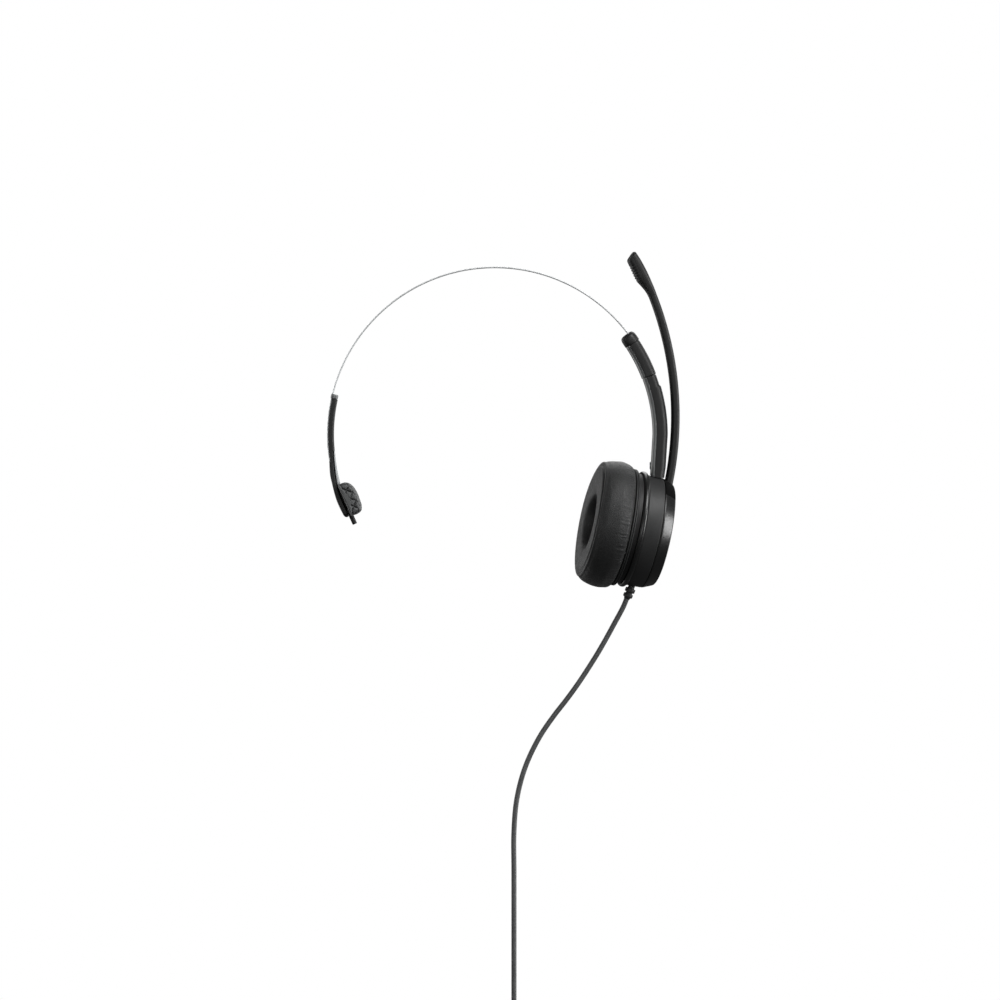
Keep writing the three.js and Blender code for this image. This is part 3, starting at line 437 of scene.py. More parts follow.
def leatherette(name, grey):
    """Soft grained leatherette: pebbled cells with painted shade in the creases between them and in the mesh's
    hollows, glossier on their tops.
    """
    s = Surface(name, 0.5, specular=0.45)
    pebble = s.ranged(s.cells(1450, "DISTANCE_TO_EDGE"), 0.0, 0.22, 0.0, 1.0)
    base = s.mixed(s.noise(70, 3), tone(grey * 0.86), tone(grey * 1.1))
    # painted shade: the creases between the pebbles are darkened
    crease_shaded = s.mixed(s.ranged(pebble, 0, 1, 0.35, 0), base, tone(grey * 0.5))
    # painted shade: the mesh's hollows, such as the gathers and the stitch line, are darkened
    s.colour(s.mixed(s.shade_in_hollows(0.44, 0.495), crease_shaded, tone(grey * 0.3)))
    wear = s.ranged(s.noise(500, 3), 0.3, 0.7, -0.05, 0.06)
    s.roughness(s.math("ADD", s.ranged(pebble, 0, 1, 0.6, 0.38), wear))
    s.bump(pebble, 0.00009, 0.7)
    s.bump(s.noise(420, 4), 0.00008, 0.35)
    s.sheen(0.1, 0.4)
    return s.material


def woven_cloth(name, grey):
    """Plain weave: two crossing wave patterns with fuzz over them."""
    s = Surface(name, 0.9, specular=0.2)
    waves = []
    for direction in ("X", "Z"):
        wave = s.node(
            "ShaderNodeTexWave", Vector=s.coordinates, Scale=1 / (THREAD_PITCH * math.tau), Distortion=0.4
        )
        wave.bands_direction = direction
        waves.append(wave.outputs["Fac"])
    weave = s.math("MULTIPLY", waves[0], waves[1])
    s.colour(s.mixed(weave, tone(grey * 0.6), tone(grey * 1.5)))
    s.bump(weave, 0.00008, 0.8)
    s.bump(s.noise(6000, 3), 0.00003, 0.5)
    s.sheen(0.3, 0.5)
    return s.material


def green_board(name):
    """Lacquered board with paler tracks."""
    s = Surface(name, 0.35)
    tracks = s.ranged(s.cells(700, "DISTANCE_TO_EDGE"), 0.03, 0.05, 1.0, 0.0)
    s.colour(s.mixed(tracks, (0.01, 0.09, 0.04, 1), (0.03, 0.16, 0.07, 1)))
    s.roughness(s.ranged(s.noise(800, 2), 0.3, 0.7, 0.3, 0.5))
    s.bump(tracks, 0.00002, 0.6)
    return s.material


MATERIALS = {
    "spring_steel": rolled_steel("spring_steel", 228, 0.4),
    "bright_metal": plated_steel("bright_metal", 205, 0.18),
    "steel": plated_steel("steel", 150),
    "housing_plastic": moulded_plastic("housing_plastic", 35, 0.54, 0.000004),
    "shell_plastic": moulded_plastic("shell_plastic", 15, 0.54),
    # painted highlight: the inner covers and the pad bracket are given light greys that stand in for the light
    # caught along the arms' inner edges
    "cover_plastic": polished_plastic("cover_plastic", 112, 0.3, specular=0.5, coat=0.3),
    "bracket_plastic": moulded_plastic("bracket_plastic", 172, 0.4, 0.000005),
    "gloss_plastic": polished_plastic("gloss_plastic", 20, 0.29, specular=0.62, coat=0),
    "inner_plastic": moulded_plastic("inner_plastic", 20, 0.6),
    "leatherette": leatherette("leatherette", 36),
    "pad_rubber": soft_rubber("pad_rubber", 80),
    "speaker_fabric": woven_cloth("speaker_fabric", 30),
    "circuit_board": green_board("circuit_board"),
    "cord_rubber": soft_rubber("cord_rubber", 78, 0.38),
    "plug_plastic": moulded_plastic("plug_plastic", 215, 0.4),
}
SLOT_OF = {part["node"]: part["material_slot"] for part in frame["record"]["subparts"]}
BODY_OF = {
    name: body for body, names in frame["record"]["behaviour"]["bodies"].items() for name in names
}


# === Mesh building ===

SHARP = 32.0  # degrees
ROUND_SEGMENTS = 2
ROUND_STEPS = 160


def joined_up(made):
    """Merges points that coincide, and turns all faces outwards."""
    bmesh.ops.remove_doubles(made, verts=made.verts, dist=1e-6)
    bmesh.ops.recalc_face_normals(made, faces=made.faces)


def finish_mesh(mesh, sharp=SHARP):
    """Smooth shading with a hard line at every edge that turns by more than sharp degrees."""
    with editing(mesh) as made:
        joined_up(made)
        for face in made.faces:
            face.smooth = True
        limit = math.radians(sharp)
        for edge in made.edges:
            edge.smooth = len(edge.link_faces) == 2 and edge.calc_face_angle(math.pi) < limit


def attach(obj, node, material=None):
    """Puts a piece on its node's body, in its node's slot and place."""
    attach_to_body(obj, BODY_OF[node])
    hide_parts(node)
    obj.data.materials.clear()
    obj.data.materials.append(material or MATERIALS[SLOT_OF[node]])


def apply_modifiers(obj):
    """Keeps what the modifiers make as the object's own mesh."""
    graph = bpy.context.evaluated_depsgraph_get()
    mesh = bpy.data.meshes.new_from_object(obj.evaluated_get(graph))
    obj.modifiers.clear()
    obj.data = mesh


def round_edges(obj, width):
    """Rounds every sharp edge off by a width in millimetres."""
    modifier = obj.modifiers.new("edges", "BEVEL")
    modifier.width = width * MM
    modifier.segments = ROUND_SEGMENTS
    modifier.limit_method = "ANGLE"
    modifier.angle_limit = math.radians(SHARP)
    modifier.miter_outer = "MITER_SHARP"
    apply_modifiers(obj)


def smoothed_copy(node):
    """The CAD solid with its faceted faces merged, small rounds on its edges and smooth shading."""
    mesh = bpy.data.meshes.new(node + "_look")
    flat = math.radians(0.6)
    with editing(mesh, source=frame["nodes"][node].data) as made:
        bmesh.ops.remove_doubles(made, verts=made.verts, dist=2e-6)
        bmesh.ops.dissolve_limit(
            made, angle_limit=flat, verts=made.verts, edges=made.edges, delimit={"NORMAL"}
        )
    obj = new_object(node + "_look", mesh)
    round_edges(obj, 0.12)
    finish_mesh(obj.data)
    attach(obj, node)


def skin(rows, closed=False):
    """Faces over rows of points, with end caps, or joined end to end when closed."""
    width = len(rows[0])
    points = [Vector(point) * MM for row in rows for point in row]
    faces = []
    for i in range(len(rows) if closed else len(rows) - 1):
        here = i * width
        there = ((i + 1) % len(rows)) * width
        for j in range(width):
            k = (j + 1) % width
            faces.append((here + j, here + k, there + k, there + j))
    if not closed:
        faces.append(tuple(range(width - 1, -1, -1)))
        faces.append(tuple(range(len(points) - width, len(points))))
    return points, faces


def solid(name, frame_matrix, *skins):
    """Object from one or more closed skins."""
    points = []
    faces = []
    for some_points, some_faces in skins:
        faces += [tuple(len(points) + i for i in face) for face in some_faces]
        points += some_points
    mesh = bpy.data.meshes.new(name)
    mesh.from_pydata(points, [], faces)
    with editing(mesh) as made:
        joined_up(made)
    obj = new_object(name, mesh)
    obj.matrix_world = frame_matrix
    return obj


def carve(obj, *cutters):
    """Takes closed skins away from a piece, in the piece's own frame or, for a pair, in another one."""
    for cutter in cutters:
        place, shape = cutter if isinstance(cutter[0], Matrix) else (obj.matrix_world, cutter)
        tool = solid("cutter", place, shape)
        modifier = obj.modifiers.new("carve", "BOOLEAN")
        modifier.operation = "DIFFERENCE"
        modifier.object = tool
        apply_modifiers(obj)
        bpy.data.objects.remove(tool)


def merge(obj, other):
    """Adds another mesh in the same frame to a piece's own."""
    with editing(obj.data) as made:
        made.from_mesh(other.data)
    bpy.data.objects.remove(other)


def piece(node, frame_matrix, *skins, cutters=(), sharp=SHARP, material=None):
    """The finished look of one CAD node."""
    obj = solid(node + "_look", frame_matrix, *skins)
    carve(obj, *cutters)
    finish_mesh(obj.data, sharp)
    attach(obj, node, material)
    return obj


def rounded(corners, radius, steps=4):
    """Closed outline with rounded corners. A corner's own radius may follow its two coordinates."""
    outline = []
    for i, corner in enumerate(corners):
        here = Vector(corner[:2])
        size = corner[2] if len(corner) > 2 else radius
        before = Vector(corners[i - 1][:2]) - here
        after = Vector(corners[(i + 1) % len(corners)][:2]) - here
        if size == 0:
            outline.append(here)
            continue
        start = here + before.normalized() * min(size, 0.45 * before.length)
        end = here + after.normalized() * min(size, 0.45 * after.length)
        for t in spread(0, 1, steps):
            outline.append(start.lerp(here, t).lerp(here.lerp(end, t), t))
    return outline


def around(radius, angle):
    """Two coordinates at a radius and an angle in degrees."""
    turn = math.radians(angle)
    return radius * math.cos(turn), radius * math.sin(turn)


def lathe(outline, start=0.0, stop=360.0, steps=120):
    """Closed (radius, height) outline turned about z, all round or from start to stop degrees."""
    whole = stop - start >= 360
    angles = spread(start, stop, steps)[: steps if whole else steps + 1]
    rows = []
    for angle in angles:
        rows.append([(*around(radius, angle), height) for radius, height in outline])
    return skin(rows, closed=whole)


def rod(radius, start, end, steps=24):
    """Round rod between two points."""
    start = Vector(start)
    end = Vector(end)
    axis = (end - start).normalized()
    side = axis.orthogonal().normalized()
    other = axis.cross(side)
    turns = [math.tau * i / steps for i in range(steps)]
    ring = [radius * (side * math.cos(t) + other * math.sin(t)) for t in turns]
    return skin([[start + p for p in ring], [end + p for p in ring]])


def box(low, high):
    """Block between two opposite corners."""
    corners = [(low[0], low[1]), (high[0], low[1]), (high[0], high[1]), (low[0], high[1])]
    return skin([[(x, y, z) for x, y in corners] for z in (low[2], high[2])])


def section(inner, outer, half_width, roundness, low=None, high=None, steps=14, seam=0.16):
    """Outline of a superelliptic bar as (distance, side) points, cut off flat below low and above high.

    The cut has a small chamfer, which shows as a fine seam line where two pieces meet.
    """
    middle = (inner + outer) / 2
    half = (outer - inner) / 2

    def turn_at(distance):
        u = max(-1.0, min(1.0, (distance - middle) / half))
        c = math.copysign(abs(u) ** (roundness / 2), u)
        return math.acos(max(-1.0, min(1.0, -c)))

    def at(turn):
        c = -math.cos(turn)
        distance = middle + half * math.copysign(abs(c) ** (2 / roundness), c)
        return distance, half_width * abs(math.sin(turn)) ** (2 / roundness)

    side = []
    first = turn_at(low + seam) if low is not None else 0.0
    last = turn_at(high - seam) if high is not None else math.pi
    if low is not None:
        side.append((low, at(turn_at(low))[1] - seam))
    side += [at(turn) for turn in spread(first, last, steps)]
    if high is not None:
        side.append((high, at(turn_at(high))[1] - seam))
    return side + [(distance, -width) for distance, width in reversed(side)]


# A station is a place on a bent piece: it turns (distance, side) pairs into points.


def on_band(angle, outline):
    """Distances are radii from the band's centre."""
    points = []
    for distance, side in outline:
        x, z = around(distance, angle)
        points.append((x, side, z - BAND_RADIUS))
    return points


def below_band(drop, outline):
    """Distances are x, under the band's widest point."""
    return [(distance, side, -BAND_RADIUS - drop) for distance, side in outline]


def on_boom(angle, outline, slant=0):
    """Distances are from the middle of the boom's thickness, in the cup's frame."""
    z, y = around(BOOM_RADIUS, angle)
    y += BOOM_FOOT
    z -= BOOM_RADIUS + BOOM_DEPTH
    points = []
    for distance, side in outline:
        off_z, off_y = around(distance, angle + slant)
        points.append((side, y + off_y, z + off_z))
    return points


def bar_outline(inner, outer, half_width):
    """Rectangle across the band, as (distance, side) corners."""
    return [(inner, -half_width), (outer, -half_width), (outer, half_width), (inner, half_width)]


def band_bar(start, stop, inner, outer, half_width):
    """Bent bar along the band, to cut rooms and slots with."""
    outline = bar_outline(inner, outer, half_width)
    return skin([on_band(angle, outline) for angle in spread(start, stop, 12)])


def band_frame(angle):
    """z out of the band, y along the depth, from the band's centre."""
    x, z = around(1, angle)
    z_axis = Vector((x, 0, z))
    y_axis = Vector((0, 1, 0))
    return local_frame(y_axis.cross(z_axis), y_axis, z_axis, (0, 0, -BAND_RADIUS * MM))


# === Band and temple arm ===

STRIP_OUTER = BAND_RADIUS + 0.5
STRIP_HALF_WIDTH = 4.5
STRIP_FROM = 5
STRIP_TO = 189.2
TEMPLE_RIVETS = [172.5, 184]
TEMPLE_TOP = 167.6
TEMPLE_INNER = 77.3
TEMPLE_HALF_WIDTH = 6
TONGUE_END = 208
BRACKET_FROM = 186
BRACKET_LEAN_FROM = 186.5
PIN_ROOM = 1.45
PIN_ROOM_TOP = -11.3


def band_strip():
    """Bent steel strip with rounded edges."""
    outline = rounded(bar_outline(BAND_RADIUS, STRIP_OUTER, STRIP_HALF_WIDTH), 0.16, 2)
    piece("band_strip", ROW, skin([on_band(a, outline) for a in spread(STRIP_FROM, STRIP_TO, 260)]))


def temple_rivet(number, angle):
    """Shank with a low domed head on the strip."""
    head = [
        (0, 77.6, 0), (1.2, 77.6, 0), (1.2, 80.4, 0), (1.9, 80.45, 0.05), (1.8, 80.56, 0.1), (0, 80.66, 0),
    ]
    piece(f"temple_rivet_{number}", band_frame(angle), lathe(rounded(head, 0.1), steps=40))


def band_collar():
    """Collar at the top of the temple arm. Each stage is an angle and a scale."""
    stages = [
        (165.9, 0.8), (165.98, 0.9), (166.12, 0.97), (166.3, 1), (167.2, 1), (167.4, 0.97), (167.55, 0.92),
    ]
    rows = []
    for angle, scale in stages:
        rows.append(on_band(angle, section(79.2 - 1.75 * scale, 79.2 + 1.65 * scale, 6.2 * scale, 4)))
    piece("band_collar", ROW, skin(rows))


def bracket_split(angle):
    """Radius where the temple arm meets the pad bracket."""
    return TEMPLE_INNER + 0.4 + 1.9 * min(1.0, max(0.0, (angle - BRACKET_LEAN_FROM) / 12))


def temple_arm_shell():
    """Thin moulding under the strip, then a thicker tongue with a rounded end, and a lug for the pin."""
    rows = []
    under_strip = [*spread(TEMPLE_TOP, 185.9, 34), *spread(BRACKET_FROM, STRIP_TO - 0.01, 8)]
    for angle in [*under_strip, *spread(STRIP_TO, TONGUE_END, 44)]:
        outer = BAND_RADIUS - 0.02
        if angle >= STRIP_TO:
            outer = STRIP_OUTER + 1.1 * smoothstep(angle, 188, 195.5) + 0.8 * smoothstep(angle, 195, 204)
        inner = TEMPLE_INNER if angle < BRACKET_FROM else bracket_split(angle) + 0.02
        swell = 1 - 0.04 * (1 - smoothstep(angle, 167.4, 168.2))
        rows.append(on_band(angle, section(inner, outer, TEMPLE_HALF_WIDTH * swell, 4.5)))
    for turn in spread(10, 80, 6):
        shrink, reach = around(1, turn)
        outline = section(81 - 1.4 * shrink, 81 + 1.4 * shrink, 2.4 + 3.6 * shrink, 4)
        rows.append(on_band(TONGUE_END + 1.3 * reach, outline))
    knuckle_room = band_bar(200.3, 206.5, 75, 81.25, 2.9)
    pin_room = (PAD, rod(PIN_ROOM, (PIN_ROOM_TOP, 0, 0), (14, 0, 0)))
    obj = solid("temple_arm_shell_look", ROW, skin(rows))
    carve(obj, knuckle_room, pin_room)
    lug_outline = rounded(bar_outline(77.2, 81.4, 2.6), 0.8)
    lug = solid("lug", ROW, skin([on_band(angle, lug_outline) for angle in spread(206.9, 208.4, 3)]))
    carve(lug, pin_room)
    merge(obj, lug)
    finish_mesh(obj.data)
    attach(obj, "temple_arm_shell")


def pad_bracket():
    """Wedge under the arm, with its lower end rounded off."""
    rows = []
    for angle in [*spread(185.95, 197.2, 26), 197.5, 197.7, 197.8]:
        inner = TEMPLE_INNER + 0.05 * max(0.0, angle - BRACKET_LEAN_FROM)
        ease = smoothstep(angle, 185.6, 186.1) * (1 - smoothstep(angle, 197.1, 198.1))
        outline = section(inner + 0.35 * (1 - ease), bracket_split(angle), 5.2 + 0.35 * ease, 4)
        rows.append(on_band(angle, outline))
    pin_room = (PAD, rod(PIN_ROOM, (PIN_ROOM_TOP, 0, 0), (3, 0, 0)))
    piece("pad_bracket", ROW, skin(rows), cutters=[pin_room])


# === Temple pad, in its own frame ===

PAD_LENGTH = 56
PAD_ROUND = 3.2
PAD_PITCH = 4.2
PAD_RELIEF = 0.95
PAD_MIDDLE = Vector((0, 0, 3.2))
PAD_FRONT = 6.8
PAD_SIDE = [
    (-8.0, 0.35), (-8.3, 2.2), (-7.8, 4.6), (-5.6, 6.1), (-2.0, 6.8), (1.5, 6.7), (5.2, 6.2),
    (7.3, 5.0), (7.9, 2.6), (7.7, 0.35),
]


def pad_groove(x, reach):
    """Depth of the net of diagonal grooves, from 0 on the crowns of its cells to 1 in a groove."""
    deepest = 0.0
    for diagonal in (x + reach, x - reach):
        from_line = abs((diagonal / PAD_PITCH) % 1 - 0.5) * PAD_PITCH / math.sqrt(2)
        groove = 0.7 * (1 - smoothstep(from_line, 0.14, 0.62)) + 0.3 * (1 - smoothstep(from_line, 0, 1.1))
        deepest = max(deepest, groove)
    return deepest


def pad_stations():
    """(place, scale, how far the surface faces the end) from the middle of the pad to one end."""
    half = PAD_LENGTH / 2
    stations = [(y, 1.0, 0.0) for y in spread(0, half - PAD_ROUND, 110)]
    for turn in spread(5, 90, 14):
        reach = math.radians(turn)
        y = half - PAD_ROUND * (1 - math.sin(reach))
        stations.append((y, 1 - 0.3 * (1 - math.cos(reach)), turn / 90))
    return stations + [(half, scale, 1.0) for scale in spread(0.68, 0.04, 24)]


def temple_pad():
    """Rubber bar across the head, with the net over its front, sides and rounded ends."""
    profile = smooth_line([(x, 0, z) for x, z in PAD_SIDE], 0.22)
    end_half = pad_stations()
    stations = [(-y, *rest) for y, *rest in reversed(end_half[1:])] + end_half
    rows = []
    for y, scale, facing_end in stations:
        row = []
        for point in profile:
            place = PAD_MIDDLE + (point - PAD_MIDDLE) * scale
            groove = pad_groove(place.x, abs(y) + PAD_FRONT - place.z)
            depth = PAD_RELIEF * groove * smoothstep(point.z, 0.6, 1.6)
            place += (PAD_MIDDLE - place).normalized() * depth * (1 - facing_end)
            row.append((place.x, y - math.copysign(depth * facing_end, y), place.z))
        rows.append(row)
    pocket = box((-6.6, -25.3, -1), (6.6, 25.3, 4))
    pin_room = rod(PIN_ROOM, (-9.5, 0, 0), (9.5, 0, 0))
    obj = piece("temple_pad", PAD, skin(rows), cutters=[pocket, pin_room], sharp=60)


def pad_carrier():
    """Plate inside the pad with the knuckle that turns on the pin."""
    plate = box((-6.3, -25, 2.2), (6.3, 25, 3.7))
    knuckle = rod(2.1, (-4.8, 0, 0), (2.8, 0, 0), 32)
    web = box((-4.8, -1.2, 1), (2.8, 1.2, 2.6))
    obj = piece("pad_carrier", PAD, plate, knuckle, web)
    round_edges(obj, 0.15)
    finish_mesh(obj.data)


def pad_pin():
    """Pin with rounded ends, seen past the end of the arm."""
    ends = [(0, -11, 0), (1.15, -11, 0.4), (1.15, 12, 0.4), (0, 12, 0)]
    along_pin = local_frame((0, 1, 0), (0, 0, 1), (1, 0, 0), (0, 0, 0))
    piece("pad_pin", PAD @ along_pin, lathe(rounded(ends, 0.3), steps=32))


# === Sizing arm ===

CAP_SEAM = 33.4
CAP_MIDDLE = 79.25
CAP_ROUNDNESS = 2.6
ARM_INNER = 75.75
ARM_OUTER = 83.1
ARM_DROP = 25
ARM_ROUNDNESS = 3.2
UPPER_SPLIT = ARM_INNER + 1.6
LOWER_SPLIT = ARM_INNER + 2
COVER_DROP = 22
FOOT_DROP = 22
FOOT_LEAN = 1.3  # how far the inner face leans in over the foot's drop
FOOT_TAPER = 1.35
DRUM_ROOM = 27.35
SLIDE_HOLLOW = (76.9, 81.4, 5)  # inner and outer radius, half the width
ARM_SCREW_HEIGHT = -BAND_RADIUS - 15


def arm_cap():
    """Rounded end cap with the slot that the strip slides through. Each stage is an angle and a scale."""
    stages = [
        (CAP_SEAM, 0.955), (33.46, 0.985), (33.6, 1), (34.4, 1), (35.3, 0.995), (36.0, 0.97), (36.5, 0.915),
        (36.85, 0.83), (37.1, 0.72), (37.24, 0.58), (37.3, 0.4),
    ]
    rows = []
    for angle, scale in stages:
        half = 3.9 * scale
        outline = section(CAP_MIDDLE - half, CAP_MIDDLE + half, 6.6 * scale, CAP_ROUNDNESS)
        rows.append(on_band(angle, outline))
    slot = band_bar(32, 39, BAND_RADIUS - 0.3, STRIP_OUTER + 0.3, 4.8)
    piece("arm_cap", ROW, skin(rows), cutters=[slot])


def upper_rows(low=None, high=None):
    """Upper half of the arm, above low or below high, with its two ends eased in to show a seam."""
    rows = []
    for angle in [33.39, 33.3, 33.2, *spread(33.05, 20.95, 24), 20.8, 20.7, 20.6]:
        ease = smoothstep(angle, 20.5, 20.85) * (1 - smoothstep(angle, 33.1, 33.5))
        outline = section(75.9 - 0.4 * ease, 82.4 + 0.4 * ease, 6.05 + 0.35 * ease, ARM_ROUNDNESS, low, high)
        rows.append(on_band(angle, outline))
    return skin(rows)


def arm_upper():
    """Outer shell and narrow inner cover."""
    room = band_bar(36, 19, *SLIDE_HOLLOW)
    piece("arm_upper_shell", ROW, upper_rows(low=UPPER_SPLIT), cutters=[room])
    piece("arm_upper_cover", ROW, upper_rows(high=UPPER_SPLIT), cutters=[room])


def lower_rows(cover):
    """Lower half, which steps out below the seam and then runs straight down to the cup."""

    def part(inner, outer, half_width, split):
        side = {"high": split} if cover else {"low": split}
        return section(inner, outer, half_width, ARM_ROUNDNESS, **side)

    rows = []
    for angle in [20.6, 20.5, 20.47, 20.42, *spread(20.2, 17.2, 5), *spread(17, 16, 6), *spread(15, 0, 20)]:
        step = 1 - smoothstep(angle, 16.1, 16.95)
        ease = 1 - smoothstep(angle, 20.42, 20.5)
        inner = ARM_INNER + 0.3 * (1 - ease)
        outer = 82.2 + 0.35 * ease + 0.55 * step
        half_width = 5.9 + 0.4 * ease + 0.2 * (1 - smoothstep(angle, 8, 17))
        rows.append(on_band(angle, part(inner, outer, half_width, LOWER_SPLIT)))
    for drop in spread(1, COVER_DROP if cover else ARM_DROP, 24):
        lean = FOOT_LEAN * drop / FOOT_DROP
        outer = ARM_OUTER - FOOT_TAPER * drop / FOOT_DROP - 0.4 * smoothstep(drop, 15, 21)
        rows.append(below_band(drop, part(ARM_INNER - lean, outer, 6.5, LOWER_SPLIT - lean)))
    return skin(rows)


def arm_lower():
    """Outer shell, saddled round the drum at its foot, and the inner cover with its screw hole."""
    room = band_bar(25, -9.5, *SLIDE_HOLLOW)
    drum = [(0, -22), (DRUM_ROOM, -22), (DRUM_ROOM, 12), (0, 12)]
    drum_room = (SWIVEL, lathe(drum, steps=ROUND_STEPS))
    post_room = (SWIVEL, rod(2.3, (0, 20, 0), (0, 30.3, 0)))
    screw_room = rod(1.25, (70, 0, ARM_SCREW_HEIGHT), (80.2, 0, ARM_SCREW_HEIGHT))
    head_room = rod(2.1, (70, 0, ARM_SCREW_HEIGHT), (75.4, 0, ARM_SCREW_HEIGHT))
    rooms = [room, drum_room, post_room, screw_room]
    piece("arm_lower_shell", ROW, lower_rows(cover=False), cutters=rooms)
    piece("arm_lower_cover", ROW, lower_rows(cover=True), cutters=[*rooms, head_room])


# === Ear cup housing, in the cup's frame ===

SCREW_CIRCLE = 20.6
SCREW_PLACES = [around(SCREW_CIRCLE, angle) for angle in (45, 135, 225, 315)]
RELIEF = {"depth": -9.85, "lean": 10.6, "radius": 26.8}


def relief_frame():
    """z down the strain relief, from the drum's wall."""
    turn = Matrix.Rotation(math.radians(90 + RELIEF["lean"]), 4, "X")
    return CUP @ Matrix.Translation((0, -RELIEF["radius"] * MM, RELIEF["depth"] * MM)) @ turn


def housing_drum():
    """Turned can with screw bosses, ears for the tilt pins, and a slot for the swivel post."""
    can = rounded(
        [
            (4, -1.7), (12.2, -1.7), (12.2, -4.4), (25.7, -4.4, 0), (25.7, -5.8, 0), (26.8, -5.8, 0.45),
            (26.9, -13.5, 0.35), (25.3, -13.5), (25.3, -6.9), (24.9, -6.4), (24.9, -5.5), (4, -5.5),
        ],
        0.15,
    )
    bosses = [rod(2.4, (x, y, -15.8), (x, y, -5.2)) for x, y in SCREW_PLACES]
    ears = [box((x, 17.6, -10.4), (x + 3.2, 23.2, -5.2)) for x in (-8.2, 5)]
    post_slot = box((-3, 24, -11.3), (3, 28, -5.4))
    lead_hole = (relief_frame(), rod(1.9, (0, 0, -5), (0, 0, 4)))
    body = lathe(can, steps=ROUND_STEPS)
    piece("housing_drum", CUP, body, *bosses, *ears, cutters=[post_slot, lead_hole])


def rim_ring():
    """Polished ring between the drum and the cushion."""
    outline = [
        (25.6, -16.15), (27.7, -16.15, 0.5), (28.2, -15.2, 0.7), (28.15, -14.2, 0.6), (27.5, -13.5, 0.4),
        (25.6, -13.5),
    ]
    piece("rim_ring", CUP, lathe(rounded(outline, 0.1, 5), steps=ROUND_STEPS))


def cushion_ring():
    """Flange that the cushion is stretched over, with a bead round its edge."""
    outline = [
        (20, -20.5), (27.9, -20.5, 0.3), (28.5, -20.1, 0.4), (28.45, -19.7, 0.2), (28.0, -19.45, 0.2),
        (28.45, -19.15, 0.2), (28.4, -18.7, 0.3), (27.8, -18.45, 0.2), (20, -18.45),
    ]
    piece("cushion_ring", CUP, lathe(rounded(outline, 0.1), steps=ROUND_STEPS))


def baffle_plate():
    """Plate that closes the drum. Its edge is the dark groove behind the rim."""
    outline = rounded([(16.4, -18.3), (26.7, -18.3), (26.7, -16.2), (16.4, -16.2)], 0.25)
    holes = []
    for x, y in SCREW_PLACES:
        holes.append(rod(1.3, (x, y, -19), (x, y, -15)))
        holes.append(rod(2.3, (x, y, -19), (x, y, -17)))
    piece("baffle_plate", CUP, lathe(outline), cutters=holes)


def strain_relief():
    """Ribbed rubber sleeve where the lead comes out."""
    outline = [
        (0, -3.6, 0), (3, -3.6), (3, -2.8), (1.6, -2.8), (1.6, 1.25, 0.15), (2.45, 1.35, 0.5),
        (2.5, 3.3, 0.6), (1.6, 3.45, 0.2), (1.6, 3.95, 0.2), (2.3, 4.1, 0.5), (2.35, 5.8, 0.6),
        (1.65, 6.0, 0.2), (1.35, 6.9, 0.2), (0, 6.9, 0),
    ]
    material = soft_rubber("relief_rubber", 34, 0.5)
    piece("strain_relief", relief_frame(), lathe(rounded(outline, 0.1, 5), steps=56), material=material)


# === Boom hub, boom and microphone capsule ===

HUB_SECTOR = 43.5  # half of the ring's opening, in degrees
HUB_GAP = 0.2
BOOM_RADIUS = 157.1
BOOM_FOOT = 25.9
BOOM_DEPTH = 2.1
BOOM_WIDTH = 2.7
CAPSULE_START = 33.2
CAPSULE_SPLIT = -1.35
TIP_SLANT = 25  # degrees that the capsule's end is cut off at
HUB_OUTLINE = [
    (20.6, -3.9), (26.05, -4.1), (26.05, -5.55, 0.1), (26.75, -5.55, 0.12), (26.65, -4.9, 0.3),
    (24.75, -0.35, 0.3), (24.2, 0, 0.3), (20.6, 0, 0.25),
]


def boom_hub_ring():
    """Polished ring with a slanting edge, open at the top for the boom's root."""
    inner = [(12.6, -3.5), (19.8, -3.5), (20.2, -4.1), (21, -4.1), (21, -2.2), (20.5, -1.7), (12.6, -1.7)]
    edge = lathe(rounded(HUB_OUTLINE, 0.1, 5), 90 + HUB_SECTOR, 450 - HUB_SECTOR, 140)
    piece("boom_hub_ring", CUP, lathe(rounded(inner, 0.1)), edge)


def boom_root():
    """Matt block that carries the boom."""
    half = HUB_SECTOR - HUB_GAP
    block = lathe(rounded(HUB_OUTLINE, 0.1, 5), 90 - half, 90 + half, 48)
    material = moulded_plastic("root_plastic", 8, 0.8, specular=0.05)
    piece("boom_root", CUP, block, material=material)


def hub_cap():
    """Shallow domed cap with a fine groove near its edge."""
    outline = [
        (0, -0.5, 0), (20.3, -0.5), (20.3, -0.05, 0.2), (19.6, 0.16), (17.2, 0.24, 0.1), (17.0, 0.1, 0.1),
        (16.8, 0.25, 0.1), (10, 0.42, 2), (0, 0.5, 0),
    ]
    piece("hub_cap", CUP, lathe(rounded(outline, 0.1)))


def boom_arm():
    """Flat curved boom, sunk into its root."""
    outline = section(-2, 2, BOOM_WIDTH, 2.8, steps=18)
    rows = [on_boom(angle, outline) for angle in spread(-1.1, CAPSULE_START, 110)]
    piece("boom_arm", CUP, skin(rows))


CAPSULE_STAGES = [
    # angle, part of the tip's slant, inner, outer, half-width
    (33.2, 0, -2.0, 2.0, 2.7), (33.9, 0, -2.2, 2.02, 2.9), (34.6, 0, -2.6, 2.05, 3.2),
    (35.5, 0, -3.35, 2.0, 3.7), (36.4, 0, -4.15, 2.0, 4.3), (37.0, 0.1, -4.42, 2.0, 4.55),
    (37.5, 0.2, -4.45, 2.0, 4.6), (39.7, 0.7, -4.45, 1.9, 4.6), (40.7, 1, -4.5, 1.75, 4.6),
    (41.12, 1, -4.45, 1.6, 4.5), (41.26, 1, -4.2, 1.3, 4.25), (41.33, 1, -3.7, 0.8, 3.8),
    (41.34, 1, -2.4, -0.4, 2.4),
]
CAPSULE_SLOTS = spread(36.9, 39.9, 5)
SLOT_DEPTH = 0.32


